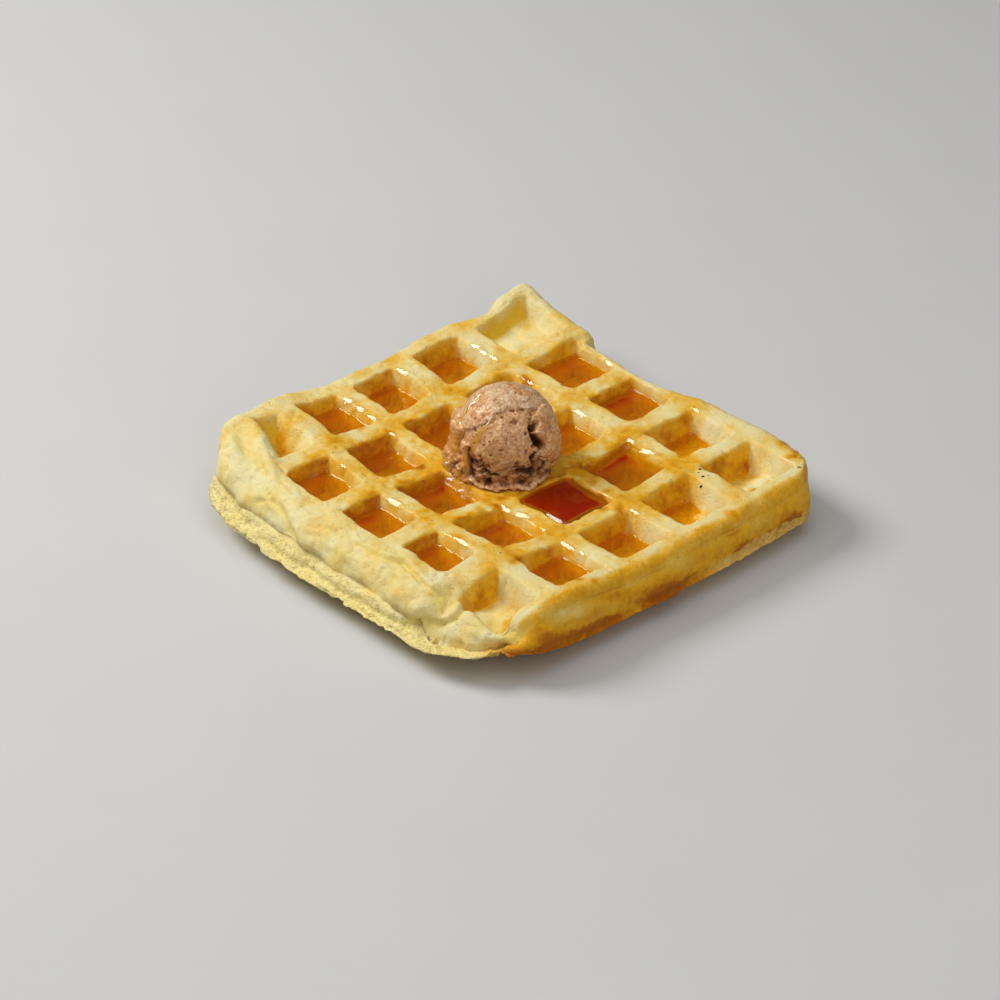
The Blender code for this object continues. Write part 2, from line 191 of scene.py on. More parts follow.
def add_studio():
    """The floor, the camera, the lamps and the dim room round them."""
    paint = Shader("floor_paint")
    colour = paint.blend(FLOOR_COLOUR, FLOOR_SHADE, paint.grain(0.05, 4.0))
    matt = paint.node("ShaderNodeBsdfPrincipled", None, {"Base Color": colour, "Roughness": 0.75})
    corners = [(FLOOR_REACH * a, FLOOR_REACH * b, 0.0) for a, b in ((-1, -1), (1, -1), (1, 1), (-1, 1))]
    floor = add_piece("floor", corners, [(0, 1, 2, 3)], paint.done(matt))

    back = Vector((
        math.sin(CAMERA_TURN) * math.cos(CAMERA_RISE),
        -math.cos(CAMERA_TURN) * math.cos(CAMERA_RISE),
        math.sin(CAMERA_RISE),
    ))
    right = Vector((math.cos(CAMERA_TURN), math.sin(CAMERA_TURN), 0.0))
    up = back.cross(right)
    lens = bpy.data.cameras.new("camera")
    lens.sensor_width = SENSOR
    # The frame's thousand pixels cancel the thousand millimetres of a metre
    lens.lens = PIXELS_PER_MM * CAMERA_AWAY * SENSOR
    lens.clip_start = 0.1
    camera = bpy.data.objects.new("camera", lens)
    place = back * CAMERA_AWAY + right * CAMERA_ASIDE + up * CAMERA_UP - Vector((*WAFFLE_MIDDLE, 0.0))
    camera.matrix_world = Matrix.Translation(place) @ Matrix((right, up, back)).transposed().to_4x4()
    bpy.context.scene.collection.objects.link(camera)
    bpy.context.scene.camera = camera

    for name, towards, size, power, gloss in LAMPS:
        light = bpy.data.lights.new(name, "AREA")
        light.shape = "DISK"
        light.size = size
        light.energy = power
        light.color = LAMP_COLOUR
        light.specular_factor = gloss
        towards = Vector(towards).normalized()
        lamp = bpy.data.objects.new(name, light)
        lamp.location = towards * LAMP_AWAY
        lamp.rotation_euler = towards.to_track_quat("Z", "Y").to_euler()
        bpy.context.scene.collection.objects.link(lamp)

    world = bpy.data.worlds.new("room")
    world.use_nodes = True
    glow = world.node_tree.nodes["Background"].inputs
    glow["Color"].default_value = ROOM_COLOUR
    glow["Strength"].default_value = ROOM_LIGHT
    bpy.context.scene.world = world
    bpy.context.scene.view_settings.view_transform = "Standard"


add_studio()


# Waffle
# One piece of batter baked between the two halves of a square iron, five pockets by five on each face.
# It bakes cream to golden. Batter that ran out along its front left set as a thick tongue that rolls over
# the side, and a thin ragged lip of batter stands all round where the halves of the iron meet.
ROWS = "ABCDE"
COLUMNS = "12345"
POCKETS = [row + column for row in ROWS for column in COLUMNS]
PITCH = 27.6 * MM
OPENING = 22.2 * MM
OPENING_CORNER = 2.4 * MM
POCKET_WARP = 0.45 * MM
WALL_RUN = 5.0 * MM
FLAP_RUN = 1.7 * WALL_RUN
POCKET_DEPTH = 11.0 * MM
UNDER_SHRINK = 2.0 * MM
UNDER_DEPTH = 4.6 * MM
HALF_SIDE = 75.0 * MM
RIDGE_TOP = 19.0 * MM
FRONT_LIFT = 4.0 * MM
END_LIFT = 2.2 * MM
BACK_LIFT = 0.8 * MM

# The tables are in millimetres on the iron's flat square, where s runs from row A to row E and t from
# column 1 to column 5. The four sides come in the order front left, front right, back right, back left.
# Hills and hollows of the top: s, t, reach and height
TOP_HILLS = ((-74.0, 74.0, 20.0, 3.8), (-70.0, -62.0, 22.0, 1.2), (66.0, -70.0, 24.0, -6.0))
# Where the ridges lie out of line: s, t, reach, and the shift along x and y
SLIDES = (
    (-58.0, -40.0, 24.0, 0.0, 5.0),
    (-42.0, 16.0, 26.0, -1.6, 0.0),
    (42.0, 46.0, 26.0, -1.6, 0.0),
    (44.0, -42.0, 20.0, 0.0, 1.4),
)
CORNER_RADII = {(-1, -1): 24.0 * MM, (-1, 1): 4.0 * MM, (1, 1): 17.0 * MM, (1, -1): 30.0 * MM}
EDGE_REACH = 13.0 * MM
# Width and height of the curve by which the top turns down at the four sides, and the first one's ripple
EDGE_TURNS = ((12.0, 10.0), (5.0, 3.4), (4.2, 3.0), (4.2, 3.0))
SCALLOP = -1.6 * MM
# Batter left in the bottom of the pockets
SHALLOW = {"A5": 5.2, "E5": 1.6, "E4": 1.2, "E1": 1.8, "D5": 1.0}
# Lumps of batter in the pockets: s and t from the pocket's middle, reach and height
LUMPS = {
    "A5": ((2.0, -4.0, 7.0, 1.6),),
    "D5": ((4.5, 4.0, 4.6, 5.0),),
    "E3": ((5.5, 4.0, 3.6, 3.4),),
    "E4": ((3.5, 6.0, 4.4, 4.4), (6.5, -1.0, 3.0, 2.4)),
    "E5": ((5.0, -3.5, 4.4, 5.2), (2.0, 6.5, 3.6, 4.6)),
    "E1": ((3.0, -1.0, 7.5, 2.6), (-4.5, -5.0, 5.0, 3.6)),
}
# How far a pocket's high s edge and low t edge stand in, and its high t edge stands out
NARROWED = {
    "A2": (0.4, 1.1, 0.0), "A3": (0.4, 1.1, 0.0), "A4": (0.8, 1.4, 0.0), "A5": (0.0, 0.6, 2.6),
    "B1": (0.4, 1.7, 0.0), "B3": (0.0, 0.8, 0.0), "B5": (0.8, 0.5, 0.0), "C1": (1.6, 2.1, 0.0),
    "C4": (0.6, 0.0, 0.0), "C5": (1.9, 1.0, 0.0), "D1": (3.4, 3.8, 0.0), "D2": (0.3, 0.4, 0.0),
    "E2": (0.6, 0.3, 0.0),
}
# The line behind which pocket A1 is open, beside the flap
FLAP_RIM = ((-70.0, -55.0), (-44.0, -60.5))
# How far each side stands out of the square, at places along it
BACK_LEFT_EDGE = (
    (-75, -2.4), (-50, -2.4), (-30, 0.6), (10, -1.6), (40, 0.2), (53, -5.2), (60, -3.6), (75, -3.2)
)
BACK_RIGHT_EDGE = ((-75, -2.0), (-37, -1.2), (-34, -5.4), (-8, -6.6), (22, -0.6), (45, 0.6), (75, -2.0))
FRONT_RIGHT_EDGE = ((-75, -3.0), (-40, -3.6), (0, -1.4), (40, -1.4), (75, -3.0))
FRONT_LEFT_EDGE = ((-75, -2.6), (-50, -1.6), (0, -1.0), (30, -2.4), (75, -6.0))
LIP_HEIGHT = 4.4 * MM
LIP_THICKNESS = 0.8 * MM
# How far the lip stands out at the four sides
LIP_REACH = (5.6, 2.2, 1.2, 1.4)
UNDER_INSET = 4.5 * MM
# How far the four sides stand out between the lip and the top, by the share of that height
SIDE_BULGES = {
    1.0: (0.0, 0.0, 0.0, 0.0),
    0.90: (-0.5, 0.4, 0.3, 0.3),
    0.70: (0.6, 1.6, 0.7, 0.7),
    0.36: (2.9, 2.1, 0.8, 0.8),
    0.10: (5.0, 1.3, 0.5, 0.6),
}
SIDE_RINGS = 18
TOP_LINES = 244
UNDER_EVERY = 3
# Finer lines over the rolled side's folds: t, reach and how much finer
FOLD_CROWD = (-68.0 * MM, 8.0 * MM, 0.9)

# Folds in the batter, each a line over the surface: along the side and in from the middle, then its
# strength there. Past 75 the second number goes on down the side.
TONGUE_EDGE = (
    (-60, -74.0, 0.0), (-53, -76.2, 0.3), (-47, -77.6, 0.35), (-38, -79.3, 0.4), (-30, -80.7, 0.45),
    (-17, -81.4, 0.5), (-4, -80.0, 0.6), (5, -80.6, 0.7), (13, -81.0, 0.85), (30, -79.8, 1.0),
    (37, -77.6, 1.0), (42, -73.6, 1.0), (48.7, -70.0, 1.0), (50.4, -67.0, 1.0), (49.6, -62.8, 1.0),
    (46.4, -58.6, 0.8), (42.0, -56.8, 0.0),
)
RIM_CREASE = (
    (1, -68.6, 0.0), (5, -68.4, 0.7), (12, -67.6, 0.7), (17, -67.2, 0.8), (20, -65.8, 1.0), (23, -63.6, 1.2),
    (28, -65.0, 0.9), (33, -66.0, 1.0), (38, -66.8, 1.0), (41, -65.6, 0.7), (43.6, -63.0, 0.0),
)
FLAP_CREST = (
    (-73, -62.0, 0.2), (-70, -57.6, 0.8), (-66.5, -55.8, 1.0), (-60, -57.0, 1.0), (-51, -60.4, 1.0),
    (-46, -61.6, 0.8), (-39.5, -64.0, 0.5), (-35, -65.4, 0.0),
)
FLAP_VALLEY = ((-64, -63.0, 0.0), (-59, -63.4, 1.0), (-53.6, -64.4, 0.9), (-46, -66.2, 0.0))
FLAP_FOLD = ((-50, -63.6, 0.0), (-46, -64.6, 0.8), (-42, -65.6, 1.0), (-37.6, -66.4, 0.0))
TERRACE_EDGE = (
    (-33, -68.0, 0.0), (-29.5, -71.4, 0.8), (-23, -73.2, 1.0), (-19.8, -74.2, 1.0), (-14, -75.4, 0.8),
    (-8, -77.0, 0.0),
)
SLITS = (
    ((-38.0, -73.4, 0.6), (-36.0, -73.0, 1.0), (-34.0, -72.6, 0.6)),
    ((-32.6, -71.2, 0.6), (-30.4, -72.4, 1.0), (-28.2, -73.6, 0.5)),
)
PITS = ((-55.2, -72.5), (-34.6, -70.6), (22.6, -64.0), (-59.4, -43.8), (-61.5, -40.8))
SPILL_CHANNEL = ((49, -53, 0.4), (57, -57, 1.0), (66, -61, 1.0), (72, -62, 0.9), (77, -60, 0.0))
CORNER_LOBES = ((52.0, -61.0, 4.2, 1.5), (60.0, -73.5, 5.0, 1.0), (66.0, -52.0, 5.0, 0.8))
FACE_FOLDS = (
    ((20, 81.0, 0.0), (27, 79.6, 0.8), (31, 77.6, 1.0), (35, 75.6, 1.0), (41, 73.2, 0.9), (50, 72.4, 0.0)),
    ((-30, 79.6, 0.0), (-24, 78.4, 0.7), (-16, 77.2, 0.6), (-8, 76.8, 0.0)),
    ((-4, 81.0, 0.0), (6, 79.4, 0.6), (16, 77.8, 0.6), (22, 76.4, 0.0)),
)


def ease(value, start, end):
    """0 before start, 1 after end, and a smooth step between them."""
    t = np.clip((value - start) / (end - start), 0.0, 1.0)
    return t * t * (3.0 - 2.0 * t)


def spot(s, t, s0, t0, reach):
    """A round hill, 1 at (s0, t0) and nothing beyond about twice its reach."""
    return np.exp(-((s - s0) ** 2 + (t - t0) ** 2) / reach**2)


def ramp(p, bend=0.33):
    """From 0 to 1 in a straight line whose two ends are rounded off."""
    p = np.clip(p, 0.0, 1.0)
    low = p * p / (2.0 * bend * (1.0 - bend))
    high = 1.0 - (1.0 - p) ** 2 / (2.0 * bend * (1.0 - bend))
    return np.where(p < bend, low, np.where(p > 1.0 - bend, high, (p - bend / 2.0) / (1.0 - bend)))


def wobble(s, t, size, seed):
    """Smooth unevenness over the square, about -1 to 1."""
    s, t = np.broadcast_arrays(np.asarray(s, float), np.asarray(t, float))
    flat = [noise.noise(Vector((a / size, b / size, seed))) for a, b in zip(s.ravel(), t.ravel())]
    return 2.0 * np.array(flat).reshape(s.shape)


def relief(points, size, seed, octaves=1):
    """Smooth unevenness in space, about -1 to 1, with finer grain at each octave."""
    flat = [
        noise.fractal(Vector((a / size + seed, b / size, c / size)), 1.0, 2.1, octaves)
        for a, b, c in points.reshape(-1, 3)
    ]
    return 1.6 * np.array(flat).reshape(points.shape[:-1])


def opening_spans(trims):
    """Low and high edge of the five openings along one side, with some edges moved."""
    spans = []
    for k in range(5):
        low, high = trims.get(k, (0.0, 0.0))
        middle = (k - 2) * PITCH
        spans.append((middle - OPENING / 2.0 + low, middle + OPENING / 2.0 + high))
    return spans


ROW_SPANS = opening_spans({0: (-0.4 * MM, 0.0), 4: (0.0, 0.2 * MM)})
COLUMN_SPANS = opening_spans({0: (3.2 * MM, 0.0), 4: (0.0, 0.6 * MM)})


def iron_spans(name):
    """Low and high edge in s, and in t, of one pocket as the iron cuts it."""
    return ROW_SPANS[ROWS.index(name[0])], COLUMN_SPANS[COLUMNS.index(name[1])]


def pocket_middle(name):
    row, column = iron_spans(name)
    return sum(row) / 2.0, sum(column) / 2.0


def pocket_spans(name):
    """The same edges, moved by the batter that ran in."""
    (low_s, high_s), (low_t, high_t) = iron_spans(name)
    less_s, less_t, more_t = NARROWED.get(name, (0.0, 0.0, 0.0))
    return (low_s, high_s - less_s * MM), (low_t + less_t * MM, high_t + more_t * MM)


def inside_pocket(s, t, row, column, shrink=0.0):
    """Distance from a pocket's rounded rim, counted inwards, at each point."""
    half_s = (row[1] - row[0]) / 2.0 - shrink - OPENING_CORNER
    half_t = (column[1] - column[0]) / 2.0 - shrink - OPENING_CORNER
    ds = np.abs(s - sum(row) / 2.0) - half_s
    dt = np.abs(t - sum(column) / 2.0) - half_t
    outside = np.hypot(np.maximum(ds, 0.0), np.maximum(dt, 0.0))
    return OPENING_CORNER - outside - np.minimum(np.maximum(ds, dt), 0.0)


def pocket_depths(s, t):
    """How deep the top's pockets lie below the ridges at each point."""
    deep = np.zeros(np.broadcast(s, t).shape)
    (rim_s, rim_t), (end_s, end_t) = np.array(FLAP_RIM) * MM
    behind_flap = (t - rim_t) - (s - rim_s) * (end_t - rim_t) / (end_s - rim_s)
    for name in POCKETS:
        inside = inside_pocket(s, t, *pocket_spans(name))
        run = WALL_RUN
        if name == "A1":
            inside = np.minimum(inside, behind_flap)
            run = FLAP_RUN
        here = ramp(inside / run) * (POCKET_DEPTH - SHALLOW.get(name, 0.0) * MM)
        s0, t0 = pocket_middle(name)
        for lump_s, lump_t, reach, height in LUMPS.get(name, ()):
            lump = spot(s, t, s0 + lump_s * MM, t0 + lump_t * MM, reach * MM)
            here = here - height * MM * lump * ramp(inside / (2.0 * WALL_RUN))
        deep = np.maximum(deep, here)
    return deep


def lift(s, t):
    """The ridges' rise above the flat: the front-left strip and the far corners curl up."""
    front = FRONT_LIFT * ease(-t, 14.0 * MM, 48.0 * MM)
    ends = END_LIFT * (s / HALF_SIDE) ** 2 + BACK_LIFT * (np.maximum(t, 0.0) / HALF_SIDE) ** 2
    hills = sum(height * MM * spot(s, t, a * MM, b * MM, reach * MM) for a, b, reach, height in TOP_HILLS)
    return front + ends + hills


def under_lift(s, t):
    """How far the underside stands off the table at the rolled edge and at the two ends."""
    front = FRONT_LIFT * ease(-t, 30.0 * MM, 68.0 * MM)
    return front + END_LIFT * ease(np.abs(s), 40.0 * MM, HALF_SIDE)


def edge_fall(distance, width, height):
    """Quarter ellipse by which the top turns down towards an edge this far away."""
    near = np.clip(1.0 - distance / width, 0.0, 1.0)
    return height * (1.0 - np.sqrt(1.0 - 0.985 * near * near))


def between(position, knots):
    """Smooth curve through a few (position, value) knots, in millimetres."""
    out = np.full(np.shape(position), knots[0][1] * MM)
    for (start, low), (end, high) in zip(knots, knots[1:]):
        out = out + (high - low) * MM * ease(position, start * MM, end * MM)
    return out


def plan(s, t, inset=0.0):
    """Where a point of the iron's square comes to lie on the uneven waffle."""
    x, y = np.array(s, float), np.array(t, float)
    for (side_s, side_t), radius in CORNER_RADII.items():
        a = np.clip((x * side_s - (HALF_SIDE - radius)) / radius, 0.0, 1.0)
        b = np.clip((y * side_t - (HALF_SIDE - radius)) / radius, 0.0, 1.0)
        x = x + side_s * radius * a * (np.sqrt(1.0 - b * b / 2.0) - 1.0)
        y = y + side_t * radius * b * (np.sqrt(1.0 - a * a / 2.0) - 1.0)
    # The underside's inset is eased over a longer stretch, so that its sharp corners don't fold
    start = HALF_SIDE - EDGE_REACH - 2.4 * inset
    x = x - (between(t, BACK_LEFT_EDGE) - inset) * ease(-s, start, HALF_SIDE)
    x = x + (between(t, FRONT_RIGHT_EDGE) - inset) * ease(s, start, HALF_SIDE)
    y = y - (between(s, FRONT_LEFT_EDGE) - inset) * ease(-t, start, HALF_SIDE)
    y = y + (between(s, BACK_RIGHT_EDGE) - inset) * ease(t, start, HALF_SIDE)
    for s0, t0, reach, slide_x, slide_y in SLIDES:
        near = MM * spot(s, t, s0 * MM, t0 * MM, reach * MM)
        x = x + slide_x * near
        y = y + slide_y * near
    y = y + 0.5 * MM * wobble(s, t, 24.0 * MM, 11.7)
    x = x + 0.5 * MM * wobble(s, t, 24.0 * MM, 23.9)
    return x - WAFFLE_MIDDLE[0], y - WAFFLE_MIDDLE[1]


def sides_away(s, t):
    """Distance from each of the four sides."""
    return np.stack([t + HALF_SIDE, HALF_SIDE - s, HALF_SIDE - t, s + HALF_SIDE])


def top_form(s, t):
    """Height of the baked top, and the depth of its pockets."""
    ripples = (SCALLOP * np.cos(2.0 * math.pi * s / PITCH), 0.0, 0.0, 0.0)
    fall = np.zeros(s.shape)
    for away, (width, height), ripple in zip(sides_away(s, t), EDGE_TURNS, ripples):
        fall = fall + edge_fall(away, width * MM + ripple, height * MM) ** 2
    fall = np.sqrt(fall)
    # The rim slumps beside pocket E1 and stands proud at A5
    slump = 4.2 * MM * ease(s, 38.0 * MM, 46.0 * MM) * ease(-t, 52.0 * MM, 66.0 * MM)
    proud = 1.2 * MM * ease(-s, 36.0 * MM, 39.0 * MM) * ease(t, 56.0 * MM, 60.0 * MM)
    uneven = 0.45 * MM * wobble(s, t, 17.0 * MM, 3.1) * (1.0 - spot(s, t, 0.0, 0.0, 20.0 * MM))

    def warped(place, seed):
        fine = 0.16 * wobble(s, t, 3.0 * MM, seed + 20.0)
        return place + POCKET_WARP * (wobble(s, t, 8.0 * MM, seed) + fine)

    deep = pocket_depths(warped(s, 51.3), warped(t, 67.9))
    ridge = RIDGE_TOP + lift(s, t) + uneven + proud - slump
    return ridge - fall - deep * (1.0 - (fall + slump) / (16.0 * MM)), deep


def under_height(s, t):
    """Height of the underside, with its own shallow pockets."""
    deep = np.zeros(s.shape)
    for name in POCKETS:
        inside = inside_pocket(s, t, *iron_spans(name), UNDER_SHRINK)
        deep = np.maximum(deep, UNDER_DEPTH * ramp(inside / WALL_RUN))
    return under_lift(s, t) + deep


def grid_lines(spans, *crowds):
    """Lines across the iron's square, closer together where the pocket walls and the folds are."""
    places = np.linspace(-HALF_SIDE, HALF_SIDE, 6001)
    dense = np.ones_like(places)
    walls = []
    for low, high in spans:
        walls += [(wall, 0.75 * WALL_RUN, 0.8) for wall in (low + WALL_RUN / 2.0, high - WALL_RUN / 2.0)]
    for middle, reach, share in [*walls, *crowds]:
        dense += share * np.exp(-(((places - middle) / reach) ** 4))
    total = np.concatenate([[0.0], np.cumsum(dense[1:])])
    return np.interp(np.linspace(0.0, total[-1], TOP_LINES), total, places)


def perimeter(count):
    """Index pairs round a square grid, anticlockwise seen from above."""
    last = count - 1
    front = [(i, 0) for i in range(last)]
    right = [(last, j) for j in range(last)]
    back = [(i, last) for i in range(last, 0, -1)]
    left = [(0, j) for j in range(last, 0, -1)]
    return front + right + back + left


def unit(vectors):
    return vectors / np.linalg.norm(vectors, axis=-1, keepdims=True)


def outward(points):
    """Level unit vectors that point out of a closed loop of points, smoothed along it."""
    along = np.roll(points, -1, axis=0) - np.roll(points, 1, axis=0)
    across = unit(np.stack([along[:, 1], -along[:, 0]], axis=1))
    for _ in range(6):
        across = unit(across + np.roll(across, 1, axis=0) + np.roll(across, -1, axis=0))
    return across


def side_shares(s, t):
    """How much each of the four sides counts at a point of the edge."""
    shares = np.clip(1.0 - sides_away(s, t) / (14.0 * MM), 0.0, 1.0) ** 2
    return shares / shares.sum(axis=0)


def grid_faces(index, flip):
    """Four-sided faces over a grid of point numbers."""
    corners = np.stack([index[:-1, :-1], index[1:, :-1], index[1:, 1:], index[:-1, 1:]], axis=-1)
    corners = corners.reshape(-1, 4)
    return (corners[:, ::-1] if flip else corners).tolist()


def band_faces(upper, lower):
    """Four-sided faces between two closed loops of point numbers, with the upper one first."""
    return np.stack([upper, lower, np.roll(lower, -1), np.roll(upper, -1)], axis=-1).tolist()


def surface_normals(points, faces):
    mesh = bpy.data.meshes.new("draft")
    mesh.from_pydata(points.tolist(), [], faces)
    normals = np.empty(len(points) * 3, np.float32)
    mesh.vertex_normals.foreach_get("vector", normals)
    bpy.data.meshes.remove(mesh)
    return normals.reshape(-1, 3).astype(float)


def stroke(s, t, line):
    """Distance from a line over the surface, the side of it (1 on the left) and its strength there."""
    best = np.full(s.shape, 1.0)
    side = np.ones(s.shape)
    strength = np.zeros(s.shape)
    for (s0, t0, from_strength), (s1, t1, to_strength) in zip(line, line[1:]):
        run_s, run_t = (s1 - s0) * MM, (t1 - t0) * MM
        off_s, off_t = s - s0 * MM, t - t0 * MM
        share = np.clip((off_s * run_s + off_t * run_t) / (run_s**2 + run_t**2), 0.0, 1.0)
        away = np.hypot(off_s - share * run_s, off_t - share * run_t)
        nearer = away < best
        best = np.where(nearer, away, best)
        side = np.where(nearer, np.sign(run_s * off_t - run_t * off_s), side)
        strength = np.where(nearer, from_strength + share * (to_strength - from_strength), strength)
    return best, side, strength


def crease(s, t, line, width, depth, step, reach):
    """A groove along a line, with the surface on its left standing higher by a step that fades out."""
    away, side, strength = stroke(s, t, line)
    groove = np.exp(-((away / width) ** 2))
    shoulder = np.where(side > 0.0, 1.0 - np.exp(-((away / (1.3 * width)) ** 2)), 0.0) * np.exp(-away / reach)
    return strength * (step * shoulder - depth * groove), strength * groove


def batter_folds(s, t, normals):
    """How far the batter stands out of its plain form, and how deep in a fold each point lies."""
    front = normals[:, 1] < 0.75
    raised, folded = np.zeros(s.shape), np.zeros(s.shape)
    for line, width, depth, step, reach in (
        (TONGUE_EDGE, 1.1, 0.9, 1.5, 5.0),
        (RIM_CREASE, 0.9, 1.0, 1.3, 3.5),
        (FLAP_FOLD, 0.9, 1.0, 0.8, 2.5),
        (TERRACE_EDGE, 0.9, 0.7, 1.5, 5.0),
        (SLITS[0], 0.5, 0.9, 0.0, 1.0),
        (SLITS[1], 0.5, 0.9, 0.0, 1.0),
        (SPILL_CHANNEL, 3.2, 1.7, 0.0, 1.0),
    ):
        more, fold = crease(s, t, line, width * MM, depth * MM, step * MM, reach * MM)
        raised = raised + more
        folded = np.maximum(folded, fold)
    away, _, strength = stroke(s, t, FLAP_CREST)
    raised = raised + 1.7 * MM * strength * np.exp(-((away / (2.3 * MM)) ** 2))
    away, _, strength = stroke(s, t, FLAP_VALLEY)
    raised = raised - 1.3 * MM * strength * np.exp(-((away / (2.4 * MM)) ** 2))
    folded = np.maximum(folded, 0.8 * strength * np.exp(-((away / (2.4 * MM)) ** 2)))
    for s0, t0 in PITS:
        pit = spot(s, t, s0 * MM, t0 * MM, 0.75 * MM)
        raised = raised - 0.9 * MM * pit
        folded = np.maximum(folded, pit)
    for s0, t0, reach, height in CORNER_LOBES:
        raised = raised + height * MM * spot(s, t, s0 * MM, t0 * MM, reach * MM)
    face = normals[:, 0] > -0.75
    for line in FACE_FOLDS:
        more, fold = crease(t, s, line, 1.6 * MM, 0.7 * MM, -0.9 * MM, 6.0 * MM)
        raised = raised + more * face
        folded = np.maximum(folded, 0.35 * fold * face)
    return raised * (front | face), folded


def side_rings(edge_s, edge_t, edge, shares):
    """Rings of points down the side, round the lip and in under it, and their share of the side's height."""
    out = outward(edge[:, :2])
    lip_z = LIP_HEIGHT + under_lift(edge_s, edge_t)
    ragged = wobble(edge_s, edge_t, 6.0 * MM, 41.3)
    frayed = wobble(edge_s, edge_t, 1.9 * MM, 77.7) + 0.6 * wobble(edge_s, edge_t, 0.9 * MM, 79.7)
    frayed = frayed * (0.25 + 0.75 * ease(wobble(edge_s, edge_t, 7.0 * MM, 43.3), -0.3, 0.6))
    left_end = spot(edge_s, edge_t, -HALF_SIDE, -HALF_SIDE, 26.0 * MM)
    reach = np.tensordot(np.array(LIP_REACH) * MM, shares, axes=1) * (1.0 - 0.70 * left_end)
    fringe = 0.12 * reach * ragged + 0.42 * MM * frayed

    def bulge_at(share):
        knots = sorted(SIDE_BULGES)
        sides = [np.interp(share, knots, [SIDE_BULGES[k][side] for k in knots]) for side in range(4)]
        return np.tensordot(np.array(sides) * MM, shares, axes=1)

    def ring(away, height):
        return np.column_stack([edge[:, :2] + out * np.reshape(away, (-1, 1)), height])

    rings, ring_shares = [], []
    for k in range(SIDE_RINGS):
        share = 0.975 - 0.90 * k / (SIDE_RINGS - 1)
        bulge = (bulge_at(share - 0.04) + bulge_at(share) + bulge_at(share + 0.04)) / 3.0
        bulge = bulge * (1.0 - 0.70 * left_end * (1.0 - share)) + fringe * (1.0 - share) ** 7
        rings.append(ring(bulge, lip_z + share * (edge[:, 2] - lip_z)))
        ring_shares.append(share)
    for inset, rise in ((0.4, 0.35), (0.0, 0.10), (0.05, -0.30), (1.4, -0.5)):
        rings.append(ring(reach + fringe - inset * MM, lip_z + rise * LIP_THICKNESS))
    rings.append(ring(-1.6 * MM, lip_z - 1.3 * MM))
    ring_shares += [0.0] * (len(rings) - SIDE_RINGS)
    return rings, ring_shares


def waffle_faces(rows, cols, ring_count, few):
    """Faces over the top, down the rings of the side and over the coarser underside."""
    around = len(rows)
    top_index = np.arange(TOP_LINES**2).reshape(TOP_LINES, TOP_LINES)
    under_index = np.arange(few**2).reshape(few, few) + TOP_LINES**2 + ring_count * around
    faces = grid_faces(top_index, False) + grid_faces(under_index, True)
    bands = [top_index[rows, cols]]
    bands += [TOP_LINES**2 + k * around + np.arange(around) for k in range(ring_count)]
    for upper, lower in zip(bands, bands[1:]):
        faces += band_faces(upper, lower)
    under_loop = np.array([under_index[pair] for pair in perimeter(few)])
    for k, corner in enumerate(under_loop):
        above = [bands[-1][(k * UNDER_EVERY + step) % around] for step in range(UNDER_EVERY + 1)]
        faces.append([int(v) for v in [*above[::-1], corner, under_loop[(k + 1) % len(under_loop)]]])
    return faces


